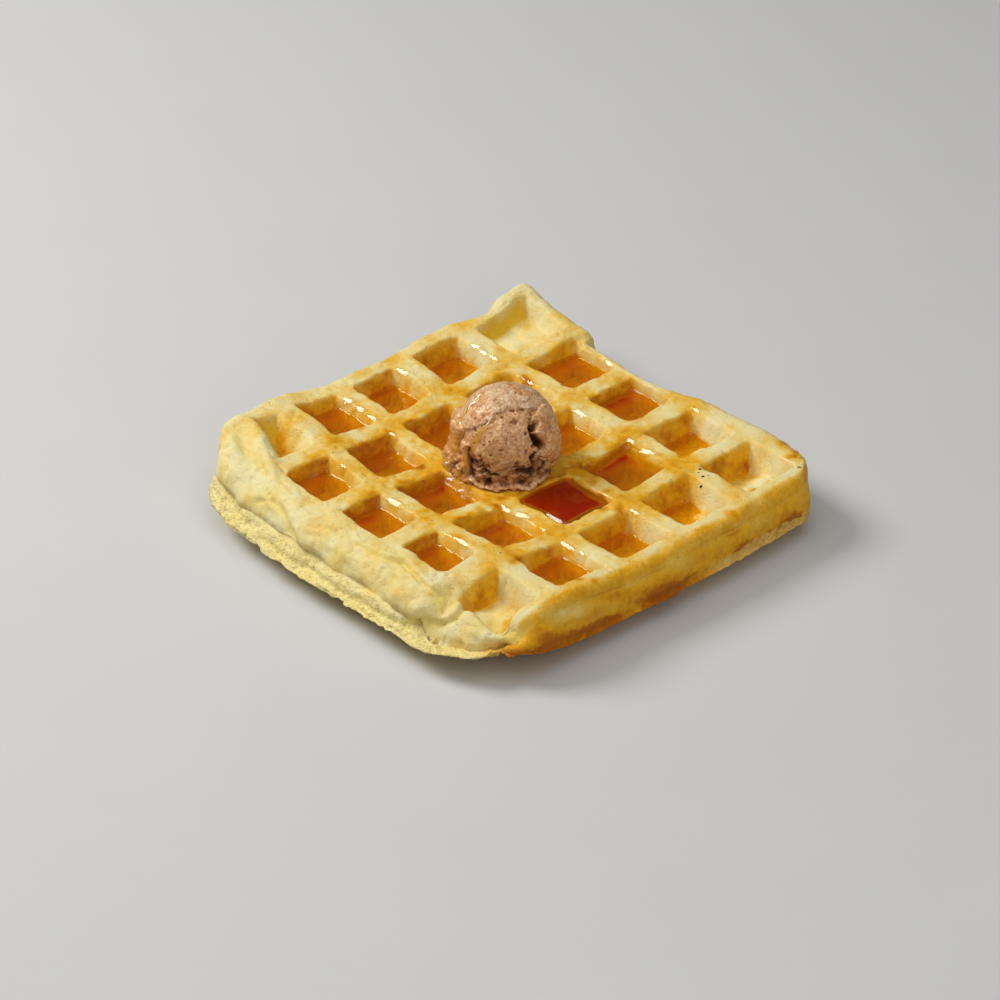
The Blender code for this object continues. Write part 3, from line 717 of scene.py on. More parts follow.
def waffle_form():
    """Points and faces of the whole waffle, and where each point lies on the iron's square."""
    s, t = np.meshgrid(grid_lines(ROW_SPANS), grid_lines(COLUMN_SPANS, FOLD_CROWD), indexing="ij")
    height, deep = top_form(s, t)
    top = np.stack([*plan(s, t), height], axis=-1)
    rows, cols = np.array(perimeter(TOP_LINES)).T
    edge_s, edge_t, edge = s[rows, cols], t[rows, cols], top[rows, cols]
    shares = side_shares(edge_s, edge_t)
    rings, ring_shares = side_rings(edge_s, edge_t, edge, shares)
    under_s, under_t = s[::UNDER_EVERY, ::UNDER_EVERY], t[::UNDER_EVERY, ::UNDER_EVERY]
    under = np.stack([*plan(under_s, under_t, UNDER_INSET), under_height(under_s, under_t)], axis=-1)
    points = np.concatenate([top.reshape(-1, 3), *rings, under.reshape(-1, 3)])
    faces = waffle_faces(rows, cols, len(rings), len(under))

    # Folds are laid out on the square, and go on past its edges by the way down the side
    way = [edge, *rings[:SIDE_RINGS + 1]]
    down = np.cumsum([np.linalg.norm(lower - upper, axis=1) for upper, lower in zip(way, way[1:])], axis=0)
    down = down[np.minimum(np.arange(len(rings)), SIDE_RINGS)]
    side_blank, under_blank = np.zeros(down.size), np.zeros(under_s.size)
    flat_s = np.concatenate([s.ravel(), (edge_s + down * (shares[1] - shares[3])).ravel(), under_blank])
    flat_t = np.concatenate([t.ravel(), (edge_t + down * (shares[2] - shares[0])).ravel(), under_blank])
    level = np.concatenate([np.ones(s.size), np.repeat(ring_shares, len(edge)), under_blank])
    around = np.tile(shares, (1, len(rings)))
    sides = np.concatenate([np.zeros((4, s.size)), around, np.zeros((4, under_s.size))], axis=1)
    is_under = np.concatenate([np.zeros(s.size), side_blank, under_blank + 1.0])

    normals = surface_normals(points, faces)
    raised, folded = batter_folds(flat_s, flat_t, normals)
    grain = 0.20 * relief(points, 5.0 * MM, 5.0) + 0.10 * relief(points, 1.6 * MM, 9.0)
    rough_band = ease(-level, -0.84, -0.72) * sides[0] + 0.7 * ease(-level, -0.5, -0.3) * sides[1]
    grain = grain + 0.42 * rough_band * (level < 1.0) * relief(points, 1.7 * MM, 2.0, 3)
    on_face = (sides[0] + sides[1]) * (level < 1.0) * (level > 0.0)
    grain = grain + 0.55 * on_face * relief(points, 15.0 * MM, 14.0)
    rolled = ease(-flat_t, 58.0 * MM, 68.0 * MM) * (is_under == 0.0)
    wrinkled = relief(points * np.array([0.45, 1.0, 1.0]), 5.0 * MM, 23.0, 2)
    grain = grain + rolled * (0.55 * relief(points, 9.0 * MM, 21.0) - 0.70 * np.abs(wrinkled) + 0.20)
    grain = grain + rolled * 0.18 * relief(points, 2.4 * MM, 27.0, 2)
    burst_bubbles = ease(wobble(flat_s, flat_t, 2.2 * MM, 33.3), 0.74, 1.02)
    raised = raised + MM * (grain - 0.40 * burst_bubbles)
    raised = np.where(is_under > 0.0, 0.0, raised) * np.where(level <= 0.0, 0.35, 1.0)
    return {
        "points": points + normals * raised[:, None], "faces": faces, "normals": normals,
        "s": flat_s, "t": flat_t, "level": level, "sides": sides, "under": is_under,
        "deep": np.concatenate([deep.ravel(), side_blank, under_blank]), "folded": folded,
    }


# How far the syrup in each pocket stands below the ridges, in millimetres
SYRUP_DROP = {
    "A2": 5.4, "A3": 6.0, "A4": 6.8,
    "B1": 5.0, "B2": 6.4, "B3": 6.0, "B4": 5.6, "B5": 4.2,
    "C1": 4.6, "C2": 5.2, "C4": 5.4, "C5": 4.4,
    "D1": 4.8, "D2": 5.8, "D3": 1.4, "D4": 2.6, "D5": 8.1,
    "E2": 6.0, "E3": 7.9, "E4": 8.6,
}
BRIMFUL = ("D3",)
MOIST_POCKETS = ("A1", "A5")
# How much less than the others these pockets' shaded walls are steeped in syrup and painted shade, and how much
# more
DRY_WALLS = {"A1": 0.85, "A5": 0.60, "E1": 0.05}
DARK_WALLS = {
    "B1": 0.14, "B2": 0.19, "B3": 0.05, "C1": 0.18, "C2": 0.19, "C5": 0.14, "D1": 0.14, "D3": 0.1, "D4": 0.19,
}
# Most syrup colour, partly painted shade, that the walls facing +x take
MOST_SOAKED_AND_SHADED = 0.72


def syrup_level(name):
    return RIDGE_TOP + float(lift(*pocket_middle(name))) - SYRUP_DROP[name] * MM


def batter_measures(form):
    """What the batter's material reads at each point: how brown, how steeped in syrup, how wet and how deep in
    a fold, with painted shade in the brown and the syrup colour of walls and sides that face away from the
    lamp, and in the folds.
    """
    s, t, level, sides = form["s"], form["t"], form["level"], form["sides"]
    x, y, z = form["points"].T
    face_x, lit = form["normals"][:, 0], np.clip(-form["normals"][:, 1], 0.0, 1.0)
    on_top = (level == 1.0) & (form["under"] == 0.0)
    depth = np.clip(form["deep"] / POCKET_DEPTH, 0.0, 1.0)
    near = np.exp(-(x**2 + y**2) / (56.0 * MM) ** 2)
    front_left = ease(-t, 52.0 * MM, 66.0 * MM)
    inside = {name: inside_pocket(s, t, *pocket_spans(name)) for name in POCKETS}

    # The top's browning: most where ridges cross near the middle. Painted shade darkens the pocket walls with
    # depth, least on walls facing -y towards the window lamp and most on walls facing +x, and darkens the
    # shoulders beside each pocket's low s edge
    ridges = [0.5 - 0.5 * np.cos(2.0 * math.pi * place / PITCH) for place in (s, t)]
    crossing = ridges[0] * ridges[1] * (1.0 - front_left)
    toast = 0.13 + 0.24 * near + 0.26 * crossing * (0.3 + near) + 0.16 * wobble(s, t, 11.0 * MM, 15.1)
    toast = toast + 0.26 * ramp(depth) * (1.0 - front_left) * (1.0 - lit)
    toast = toast + 0.22 * ramp(depth) * lit * (0.5 + wobble(s, z, 3.5 * MM, 39.0))
    toast = toast - (0.03 - 0.12 * wobble(s, t, 8.0 * MM, 69.0)) * front_left
    toast = toast + 0.30 * np.clip(face_x, 0.0, 1.0) * depth
    shoulder = np.zeros(len(z))
    for name in POCKETS:
        (low_s, high_s), (low_t, high_t) = iron_spans(name)
        beside = ease(s, low_s - 3.2 * MM, low_s + 0.4 * MM) * (s < (low_s + high_s) / 2.0)
        along = ease(t, low_t - MM, low_t + 2.0 * MM) * ease(-t, -high_t - MM, -high_t + 2.0 * MM)
        shoulder = np.maximum(shoulder, beside * along)
    toast = toast + 0.36 * shoulder * (0.25 + near) * (0.6 + 0.7 * wobble(s, t, 5.0 * MM, 97.0))
    toast = toast + 0.14 * near * wobble(s, t, 2.6 * MM, 99.0)
    toast = toast - 0.75 * front_left * np.maximum(toast - 0.20, 0.0) * (1.0 - depth)

    # Walls that face +x, away from the window lamp, take a dark syrup-steeped colour that is partly syrup and
    # partly painted shade; syrup also soaks what lies beside the pools, and is spilt over the ridges
    shaded = np.clip(2.2 * face_x - 0.2, 0.0, 1.0) * ease(depth, -0.05, 0.10)
    soak = 0.48 + 0.09 * ease(depth, 0.1, 0.6) + 0.10 * wobble(s + t, z, 5.0 * MM, 35.0)
    for name, more in DARK_WALLS.items():
        soak = soak + more * (inside[name] > -MM)
    soak = shaded * np.minimum(soak, MOST_SOAKED_AND_SHADED)
    for name, less in DRY_WALLS.items():
        soak = soak * (1.0 - less * ease(inside[name], -MM, 0.0))
    for name in LUMPS:
        toast = toast - 0.22 * ease(inside[name], 0.0, 2.5 * MM) * (1.0 - shaded)
    moist = shaded * sum(ease(inside[name], -MM, MM) for name in MOIST_POCKETS)
    toast = toast - 0.30 * moist * ramp(depth)
    moist = moist * ease(depth + 0.10 * wobble(s, t, 4.0 * MM, 93.0), 0.0, 0.35)
    pooled, damp = np.zeros(len(z)), np.zeros(len(z))
    for name in SYRUP_DROP:
        lit_part = ease(inside[name], -0.7 * MM, 0.9 * MM) * (1.0 - shaded)
        above = z - syrup_level(name) + 1.3 * MM * wobble(s, t, 4.0 * MM, 19.0)
        damp = np.maximum(damp, lit_part * (1.0 - ease(above, 0.0, 2.6 * MM)))
        if name in BRIMFUL:
            soak = np.maximum(soak, 0.70 * lit_part * (1.0 - ease(above, 0.6 * MM, 2.0 * MM)))
        else:
            pooled = np.maximum(pooled, lit_part * (1.0 - ease(above, 0.0, 0.9 * MM)))
    spilt = ease(0.50 * near + 0.45 * wobble(s, t, 13.0 * MM, 27.7), 0.30, 0.75) * (1.0 - front_left)
    spilt = spilt * (0.75 + 0.45 * wobble(s, t, 4.5 * MM, 37.7))
    soak = np.maximum(np.maximum(soak, 0.50 * damp), 0.55 * spilt)
    wet = np.maximum(np.maximum(ease(soak, 0.45, 0.9), spilt), 0.5 * damp)

    def lower(high, low):
        """From 0 above one share of the side's height to 1 below another."""
        return ease(-level, -high, -low)

    # The brown side face, pale at its rim and again at the lip and darker towards its foot, partly as painted
    # shade, and the pale rolled side
    streak = wobble(0.5 * t + 1.4 * z, 0.35 * t - 0.5 * z, 9.0 * MM, 61.0)
    patch = wobble(t, z, 12.0 * MM, 63.0)
    crumbly = ease(-level + 0.10 * wobble(t, z, 3.0 * MM, 95.0), -0.34, -0.14) * (level < 1.0)
    crumbly = crumbly * ease(t + 8.0 * MM * patch, 4.0 * MM, 34.0 * MM)
    face_toast_and_shade = 0.57 + 0.30 * lower(0.90, 0.36) - 0.34 * crumbly + 0.13 * streak + 0.07 * patch
    baked = 0.38 + 0.32 * lower(0.70, 0.15) + 0.24 * streak + 0.10 * patch
    baked = baked * lower(0.98, 0.86) * (1.0 - 0.8 * crumbly)
    rolled = 0.12 + 0.06 * lower(0.40, 0.15) + 0.08 * wobble(s, z, 8.0 * MM, 65.0)
    plain = 0.42 + 0.14 * wobble(s + t, z, 16.0 * MM, 67.0) - 0.25 * lower(0.25, 0.1)
    side_toast_and_shade = rolled * sides[0] + face_toast_and_shade * sides[1] + plain * (sides[2] + sides[3])
    rim = ease(s + 0.8 * MM * streak, 69.4 * MM, 73.0 * MM) * (1.0 - 0.6 * front_left)
    toast = toast + (np.maximum(toast, 0.56 + 0.08 * streak) - toast) * rim
    toast = np.where(on_top, toast, side_toast_and_shade)
    toast = np.where(form["under"] > 0.0, 0.55 + 0.1 * wobble(s, t, 8.0 * MM, 71.0), toast)
    band = lower(0.84, 0.70) * (level < 1.0) * (0.50 + 0.35 * wobble(s, z, 5.0 * MM, 81.0))
    patchy = 0.5 * ease(wobble(s, t, 10.0 * MM, 83.0), 0.15, 0.9) * front_left
    return {
        "toast": toast,
        "soak": np.where(on_top, soak, baked * sides[1]),
        "pooled": pooled * on_top,
        "moist": moist,
        "wet": np.where(on_top, wet, 0.12 * sides[1]),
        "porous": lower(0.84, 0.72) * (level < 1.0) * sides[0] + 0.7 * crumbly * sides[1],
        # Greenish yellow: painted shade in the folds, creases and pits, and the colour of the porous band and
        # of patches on the rolled strip
        "olive": np.clip(form["folded"] + band * sides[0] + patchy * on_top, 0.0, 1.0),
    }


CRUST = (
    (0.0, (0.80, 0.71, 0.38)), (0.20, (0.80, 0.64, 0.25)), (0.40, (0.78, 0.49, 0.085)),
    (0.58, (0.72, 0.36, 0.012)), (0.78, (0.56, 0.21, 0.004)), (1.0, (0.28, 0.08, 0.002)),
)
# Colours of batter steeped in syrup; their dark middle, reached on walls facing +x, is also painted shade
SOAKED_AND_SHADED = (
    (0.0, (0.86, 0.58, 0.10)), (0.42, (0.82, 0.42, 0.010)), (0.72, (0.47, 0.14, 0.002)),
    (1.0, (0.40, 0.11, 0.002)),
)
SODDEN = ((0.66, 0.32, 0.008, 1.0), (0.86, 0.58, 0.07, 1.0))
# Greenish yellow of the porous band and patches, also laid as painted shade in the folds
OLIVE_CRUST_AND_FOLD_SHADE = (0.76, 0.61, 0.15, 1.0)
MOIST_CRUST = (0.74, 0.49, 0.02, 1.0)
PORE = (0.50, 0.27, 0.03, 1.0)
CRUMB = (0.90, 0.80, 0.40, 1.0)


def bake_batter():
    """Cream to brown where baked, amber where syrup steeped in, with painted shade in both on walls and sides
    that face away from the lamp and in the folds; with pores and open crumb, glossy where wet.
    """
    batter = Shader("baked_batter")
    toast = batter.measure("toast") + 0.42 * (batter.grain(8.0 * MM, 3.0) - 0.5)
    toast = toast + 0.38 * (batter.grain(1.9 * MM, 3.0, 0.6) - 0.5)
    # Crust colour with its painted shade, then greenish yellow over the band, the patches and, as painted
    # shade, the folds
    crust_and_shade = batter.blend(batter.ramp(toast, CRUST), OLIVE_CRUST_AND_FOLD_SHADE, 0.65 * batter.measure("olive"))
    crust_and_shade = batter.blend(crust_and_shade, MOIST_CRUST, 0.9 * batter.measure("moist"))
    soak = batter.measure("soak")
    blots = batter.grain(2.6 * MM, 4.0, 0.6)
    soaked_and_shaded = batter.ramp(soak + 0.60 * (blots - 0.5), SOAKED_AND_SHADED)
    colour = batter.blend(crust_and_shade, soaked_and_shaded, soak.rise(0.03, 0.60))
    colour = batter.blend(colour, batter.blend(*SODDEN, blots.rise(0.30, 0.62)), batter.measure("pooled"))
    pores = batter.pits(1.2 * MM).rise(0.05, 0.32)
    pored = batter.blend(colour, PORE, 0.05 + 0.26 * toast.rise(0.10, 0.45))
    colour = batter.blend(pored, colour, pores)
    dry = 1.0 - batter.measure("wet")
    crumb = batter.measure("porous") * batter.pits(0.8 * MM).rise(0.15, 0.6)
    colour = batter.blend(colour, CRUMB, 0.45 * crumb)
    height = (0.6 * batter.grain(0.9 * MM, 3.0, 0.6) + 0.4 * pores) * (0.25 + 0.75 * dry) + 0.6 * crumb
    surface = batter.node("ShaderNodeBsdfPrincipled", None, {
        "Base Color": colour,
        "Roughness": 0.38 + 0.28 * dry,
        "Normal": batter.bump(height, 0.34 * MM),
        "Coat Weight": 0.75 * batter.measure("wet"),
        "Coat Roughness": 0.08,
        "Specular IOR Level": 0.10,
        "Subsurface Weight": 0.15,
        "Subsurface Radius": (1.0, 0.55, 0.22),
        "Subsurface Scale": 2.0 * MM,
    })
    return batter.done(surface)


waffle_shape = waffle_form()
waffle = add_piece(
    "baked_waffle", waffle_shape["points"], waffle_shape["faces"],
    bake_batter(), batter_measures(waffle_shape),
)
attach(waffle, "root")
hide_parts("waffle")


# Syrup in the pockets
# Maple syrup, poured over and gathered in twenty pockets. It lies level, climbs a little way up the walls that
# it wets, and looks darker where it is deeper, and darker still, as painted shade, beside the wall on each
# pool's low x side.
SYRUP_CREEP = 1.2 * MM
SYRUP_CREEP_RUN = 1.4 * MM
INTO_WALL = 0.4 * MM
# Painted shade: each pool counts as this much deeper at the wall on its low x side, fading over the run below
WALL_SHADE = 4.6 * MM
WALL_SHADE_RUN = 6.0 * MM
# How much deeper than they are these pools look, in millimetres
DARK_POOLS = {"D3": 3.0, "D4": -1.6}
POOL_RAYS = 84
POOL_SHARES = (0.25, 0.45, 0.6, 0.72, 0.81, 0.88, 0.93, 0.965, 0.985, 1.0)
DARKEST_DEPTH = 10.0 * MM
DOWN = Vector((0.0, 0.0, -1.0))
THIN_SYRUP = (1.0, 0.95, 0.74, 1.0)
# Syrup colours by depth, and by the painted shade beside the wall on each pool's low x side
POOL_DEPTH_AND_SHADE = (
    (0.0, (0.87, 0.53, 0.008)), (0.35, (0.83, 0.43, 0.004)), (0.62, (0.75, 0.27, 0.002)),
    (0.86, (0.62, 0.15, 0.001)), (1.0, (0.37, 0.013, 0.001)),
)


def pour_syrup(name, clear, depth_and_shade_colours, cloudy, sheen=(1.0, 1.0, 1.0, 1.0), bend=1.5):
    """Clear amber that darkens and thickens with the depth, and the painted shade, stored on the mesh."""
    syrup = Shader(name)
    depth = syrup.measure("thickness")
    thin = syrup.node("ShaderNodeBsdfTransparent", None, {"Color": THIN_SYRUP})
    full = syrup.node("ShaderNodeBsdfTransparent", None, {"Color": clear})
    colour = syrup.ramp(depth + 0.16 * (syrup.grain(5.0 * MM, 2.0) - 0.5), depth_and_shade_colours)
    body = syrup.node("ShaderNodeBsdfPrincipled", None, {
        "Base Color": colour, "Roughness": 0.3, "Specular IOR Level": 0.0,
    })
    cloud = cloudy[0] + (cloudy[1] - cloudy[0]) * depth.rise(0.5, 1.05)
    liquid = syrup.mix(syrup.mix(thin, full, depth.rise(0.0, 0.30)), body, cloud)
    shine = syrup.node("ShaderNodeBsdfGlossy", None, {"Color": sheen, "Roughness": 0.04})
    glance = syrup.node("ShaderNodeFresnel", None, {"IOR": bend}).at_most(0.13)
    return syrup.done(syrup.mix(liquid, shine, glance * (0.2 + 0.8 * depth.rise(0.02, 0.16))))


pool_syrup = pour_syrup(
    "pool_syrup", (0.98, 0.79, 0.13, 1.0), POOL_DEPTH_AND_SHADE, (0.12, 0.70), (1.0, 0.93, 0.80, 1.0), 1.38
)


def pool_form(name, tree):
    """One pocket's syrup, in rings from its middle: its level top, creeping up the walls, and a sunk foot."""
    s0, t0 = pocket_middle(name)
    for lump_s, lump_t, _, _ in LUMPS.get(name, ()):
        s0 -= 0.45 * lump_s * MM
        t0 -= 0.45 * lump_t * MM
    x0, y0 = (float(value) for value in plan(s0, t0))
    level = syrup_level(name)
    creep = min(SYRUP_CREEP, 0.4 * SYRUP_DROP[name] * MM)
    extra = DARK_POOLS.get(name, 0.0) * MM
    middle = Vector((x0, y0, level))
    shaded_wall = x0 - tree.ray_cast(middle, Vector((-1.0, 0.0, 0.0)))[3]
    spokes = []
    for ray in range(POOL_RAYS):
        turn = 2.0 * math.pi * ray / POOL_RAYS
        way = Vector((math.cos(turn), math.sin(turn), 0.0))
        spokes.append(way * (tree.ray_cast(middle - creep * DOWN, way)[3] + INTO_WALL))
    points, thickness = [], []
    floor = level
    for share in POOL_SHARES:
        for spoke in spokes:
            climb = creep * math.exp(-(1.0 - share) * spoke.length / SYRUP_CREEP_RUN)
            place = middle + spoke * share - climb * DOWN
            below, slope = tree.ray_cast(place, DOWN)[:2]
            depth = place.z - below.z if below and slope.z > 0.0 else 0.0
            depth = depth if depth < POCKET_DEPTH else 0.0
            floor = min(floor, place.z - depth)
            points.append(place)
            # Painted shade: the syrup counts as deeper near the wall on its low x side, where that wall's
            # shadow lies
            shade = math.exp(-max(place.x - shaded_wall, 0.0) / WALL_SHADE_RUN)
            thickness.append(depth + WALL_SHADE * shade + extra)
    foot = floor - 0.3 * MM
    deepest = level - tree.ray_cast(middle, DOWN)[0].z
    points += [Vector((p.x, p.y, foot)) for p in points[-POOL_RAYS:]] + [middle, Vector((x0, y0, foot))]
    return points, thickness + [0.0] * POOL_RAYS + [deepest + extra, 0.0]


def disc_faces(first, rings, rays):
    """Faces of a closed disc: rings of points outwards from its top, then its two middles."""
    faces = []
    top, foot = first + rings * rays, first + rings * rays + 1
    for k in range(rays):
        after = (k + 1) % rays
        faces.append((top, first + k, first + after))
        for ring in range(rings - 1):
            inner, outer = first + ring * rays, first + (ring + 1) * rays
            faces.append((inner + k, outer + k, outer + after, inner + after))
        last = first + (rings - 1) * rays
        faces.append((foot, last + after, last + k))
    return faces


def fill_pockets(tree):
    points, faces, thickness = [], [], []
    for name in SYRUP_DROP:
        faces += disc_faces(len(points), len(POOL_SHARES) + 1, POOL_RAYS)
        more_points, more_depth_and_shade = pool_form(name, tree)
        points += [tuple(p) for p in more_points]
        thickness += more_depth_and_shade
    shares = np.clip(np.array(thickness) / DARKEST_DEPTH, 0.0, 1.0)
    pools = add_piece("syrup_in_pockets", points, faces, pool_syrup, {"thickness": shares})
    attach(pools, "root")
    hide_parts(*("syrup_pool_" + name for name in SYRUP_DROP))
    return BVHTree.FromPolygons(points, faces)


waffle_tree = BVHTree.FromPolygons(waffle_shape["points"].tolist(), waffle_shape["faces"])
pools_tree = fill_pockets(waffle_tree)


# Syrup on the ridges
# The same syrup where it was poured over the ridges: flat glossy drops that sit on the shoulders above the
# pockets, and on the pocket that is filled to the brim.
BEAD_FACING = np.array([-0.015, -0.581, 0.814])
BEAD_HEIGHT = 0.25 * MM
BEAD_CURVE = 7.5 * MM
BEAD_BOW = 60.0 * MM
BEAD_SUNK = 1.0 * MM
BEAD_SEARCH = 4.5 * MM
BEAD_RAYS = 36
BEAD_SHARES = (0.2, 0.4, 0.58, 0.74, 0.86, 0.94, 0.985, 1.0)
# Each drop's x and y, turn in degrees, half length and half width, and height where it isn't on a shoulder
BEADS = (
    (-60.1, -14.6, 0, 2.6, 1.1), (-61.0, -9.0, 40, 2.2, 1.0), (-53.8, -11.1, 0, 2.6, 1.1),
    (-48.1, -14.7, 0, 3.1, 1.2), (-62.5, 9.8, 0, 2.6, 1.1), (-61.0, 14.3, 10, 3.1, 1.1),
    (-57.5, 41.0, 10, 2.9, 1.2), (-53.0, 36.5, 0, 2.6, 1.0), (-45.0, 38.0, 0, 3.4, 1.1),
    (-24.0, 63.5, 0, 3.1, 1.1), (-19.9, 64.0, 0, 2.9, 1.0), (-5.5, 38.0, 0, 4.3, 1.3),
    (15.0, 39.4, 0, 3.1, 1.1), (26.0, 38.4, 10, 4.1, 1.4), (-2.4, -43.0, 0, 5.8, 1.4),
    (28.4, -43.0, 0, 5.0, 1.2), (18.5, -15.6, 0, 4.1, 1.4), (26.0, -15.2, 8, 3.8, 1.4),
    (48.3, -17.2, 0, 4.1, 1.2), (54.5, -16.6, 0, 1.7, 0.9), (40.0, -16.0, 0, 1.4, 0.8),
    (-37.0, -15.4, 0, 1.9, 0.9), (-2.0, 12.0, 0, 1.9, 0.9), (48.0, 11.0, 0, 2.6, 1.0),
    (19.0, 66.0, 0, 2.4, 0.9), (-30.0, 38.6, 0, 2.2, 0.8), (-28.0, -43.2, 0, 1.9, 0.9),
    (8.5, 20.0, 22, 4.3, 0.7), (33.2, -8.0, 4, 5.3, 1.7, 18.15), (40.6, -9.6, 0, 1.6, 0.9, 18.4),
    (-6.1, -6.9, 85, 4.7, 0.9, 42.5), (3.9, -8.7, 68, 3.4, 0.8, 40.7), (-5.5, -17.6, 20, 1.6, 0.9, 18.3),
    (0.5, -17.9, 20, 1.7, 1.0, 17.0), (-9.8, -15.0, 70, 1.9, 0.9, 21.5),
)


def bead_form(shape, x0, y0, turn, half_length, half_width, height=None):
    """A flat drop of syrup on the shoulder of the ridge that lies nearest to one place."""
    facing = BEAD_FACING
    points, normals = shape["points"][:TOP_LINES**2], shape["normals"][:TOP_LINES**2]
    away = np.hypot(points[:, 0] - x0, points[:, 1] - y0)
    cost = away / BEAD_SEARCH + 6.0 * (1.0 - normals @ facing)
    middle = points[np.argmin(cost)] if height is None else np.array([x0, y0, height])
    if height is None:
        near = np.linalg.norm(points - middle, axis=1) < 1.4 * MM
        middle = middle + facing * np.max((points[near] - middle) @ facing) * 0.5
    lean = math.radians(turn)
    level = np.cross(facing, np.cross([1.0, 0.0, 0.0], facing))
    across = np.cross(facing, level)
    length_way = math.cos(lean) * level + math.sin(lean) * across
    width_way = math.cos(lean) * across - math.sin(lean) * level
    ray = np.linspace(0.0, 2.0 * math.pi, BEAD_RAYS, endpoint=False)
    ragged = [noise.noise(Vector((1.6 * math.cos(a), 1.6 * math.sin(a), 900.0 * x0))) for a in ray]
    ragged = np.array(ragged)
    rings = []
    for share in (*BEAD_SHARES, 1.0):
        u = share * half_length * np.cos(ray) * (1.0 + 0.55 * ragged)
        v = share * half_width * np.sin(ray) * (1.0 + 0.75 * ragged)
        up = BEAD_HEIGHT - v**2 / (2.0 * BEAD_CURVE) - u**2 / (2.0 * BEAD_BOW) - 0.25 * MM * share**6
        up = up - (BEAD_SUNK if len(rings) == len(BEAD_SHARES) else 0.0)
        rings.append(middle + np.outer(u, length_way) + np.outer(v, width_way) + np.outer(up, facing))
    ends = np.array([middle + BEAD_HEIGHT * facing, middle - BEAD_SUNK * facing])
    return np.concatenate([*rings, ends]), len(rings)


BEAD_THICK = ((0.0, (0.92, 0.68, 0.20)), (1.0, (0.90, 0.54, 0.06)))
bead_syrup = pour_syrup("bead_syrup", (1.0, 0.98, 0.90, 1.0), BEAD_THICK, (0.03, 0.03))


def drizzle(shape):
    points, faces = [], []
    count = 0
    for x0, y0, turn, *sizes in BEADS:
        more, rings = bead_form(shape, x0 * MM, y0 * MM, turn, *(size * MM for size in sizes))
        faces += disc_faces(count, rings, BEAD_RAYS)
        count += len(more)
        points.append(more)
    thickness = {"thickness": np.full(count, 0.4)}
    film = add_piece("syrup_film", np.concatenate(points), faces, bead_syrup, thickness)
    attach(film, "root")


drizzle(waffle_shape)


# Scoop of butter
# Soft butter whipped with spice, pressed from a round scoop: a smooth head with drag marks, a torn hollow
# on its right, a crumbly lower band, and a flap that the scoop's lip dragged out at the left.
SCOOP_RADIUS = 16.4 * MM
SCOOP_BODY = 10.6 * MM
SCOOP_PLACE = (-0.8 * MM, 1.2 * MM)
SCOOP_FLARE = 0.7 * MM
SCOOP_LIP = 3.6 * MM
SCOOP_LIP_WAY = (-0.669, -0.743, 0.0)
SCOOP_SIDES = 340
SCOOP_RINGS = 170
UP = np.array([0.0, 0.0, 1.0])
SCOOP_FRONT = 318.0

# The tables are in degrees round from the scoop's front and millimetres up from its foot.
# The ledge above the scooped part: way and height
SCOOP_LEDGE = (
    (-80, 15.0), (-60, 18.0), (-39, 21.8), (-20, 25.5), (-2, 28.1), (20, 28.2), (40, 27.4), (55, 26.0),
    (80, 21.0),
)
# Tears: way, height, half width, half height and depth
SCOOP_TEARS = (
    (38.0, 16.0, 5.5, 3.6, 4.2), (31.0, 11.0, 8.0, 1.9, 2.8), (41.0, 20.5, 5.0, 2.2, 2.0),
    (-47.0, 9.0, 4.0, 4.0, 1.3), (20.0, 6.4, 14.0, 1.3, 1.6), (-20.0, 5.6, 12.0, 1.2, 1.3),
    (50.0, 6.0, 5.0, 1.8, 1.6), (8.0, 24.0, 7.0, 0.8, 0.8),
)
# Flakes: the two ways and the two heights between which each one stands, and its thickness
SCOOP_FLAKES = (
    (46.0, 78.0, 3.0, 24.0, 1.5), (-108.0, -66.0, 4.0, 16.5, 1.8), (-62.0, -50.0, 3.0, 13.5, 0.8),
)

BUTTER = ((0.36, (0.44, 0.235, 0.105)), (0.48, (0.64, 0.40, 0.215)), (0.60, (0.84, 0.62, 0.41)))
# Painted shade in the butter's tears, cracks, crumbs and pits, under its ledge and over its lower band, darkest
# in the deepest
HOLLOW_SHADE_ON_BUTTER = (0.16, 0.055, 0.015, 1.0)
DEEP_SHADE_ON_BUTTER = (0.050, 0.018, 0.006, 1.0)
SPECK = (0.10, 0.04, 0.02, 1.0)
GLAZE = (0.96, 0.62, 0.26, 1.0)


def whip_butter():
    """Mottled pinkish brown with fine specks, with painted shade in its hollows and over its lower band, and
    glazed where syrup ran over it.
    """
    butter = Shader("spiced_butter")
    mottle = 0.6 * butter.grain(2.6 * MM, 4.0, 0.65) + 0.4 * butter.grain(0.9 * MM, 2.0)
    hollow = butter.measure("hollow")
    colour = butter.blend(butter.ramp(mottle, BUTTER), HOLLOW_SHADE_ON_BUTTER, hollow.rise(0.10, 0.75))
    colour = butter.blend(colour, DEEP_SHADE_ON_BUTTER, hollow.rise(0.75, 1.0))
    colour = butter.blend(SPECK, colour, butter.pits(1.5 * MM).rise(0.10, 0.20))
    glazed = butter.measure("glazed")
    colour = butter.blend(colour, GLAZE, 0.9 * glazed, "MULTIPLY")
    height = butter.grain(0.7 * MM, 3.0, 0.65) * (1.0 - 0.7 * glazed)
    surface = butter.node("ShaderNodeBsdfPrincipled", None, {
        "Base Color": colour,
        "Roughness": 0.58 - 0.20 * glazed,
        "Normal": butter.bump(height, 0.25 * MM),
        "Coat Weight": (0.08 + 0.6 * glazed) * (1.0 - hollow),
        "Coat Roughness": 0.12,
        "Specular IOR Level": 0.3,
        "Subsurface Weight": 0.12,
        "Subsurface Radius": (1.0, 0.5, 0.3),
        "Subsurface Scale": 1.5 * MM,
    })
    return butter.done(surface)


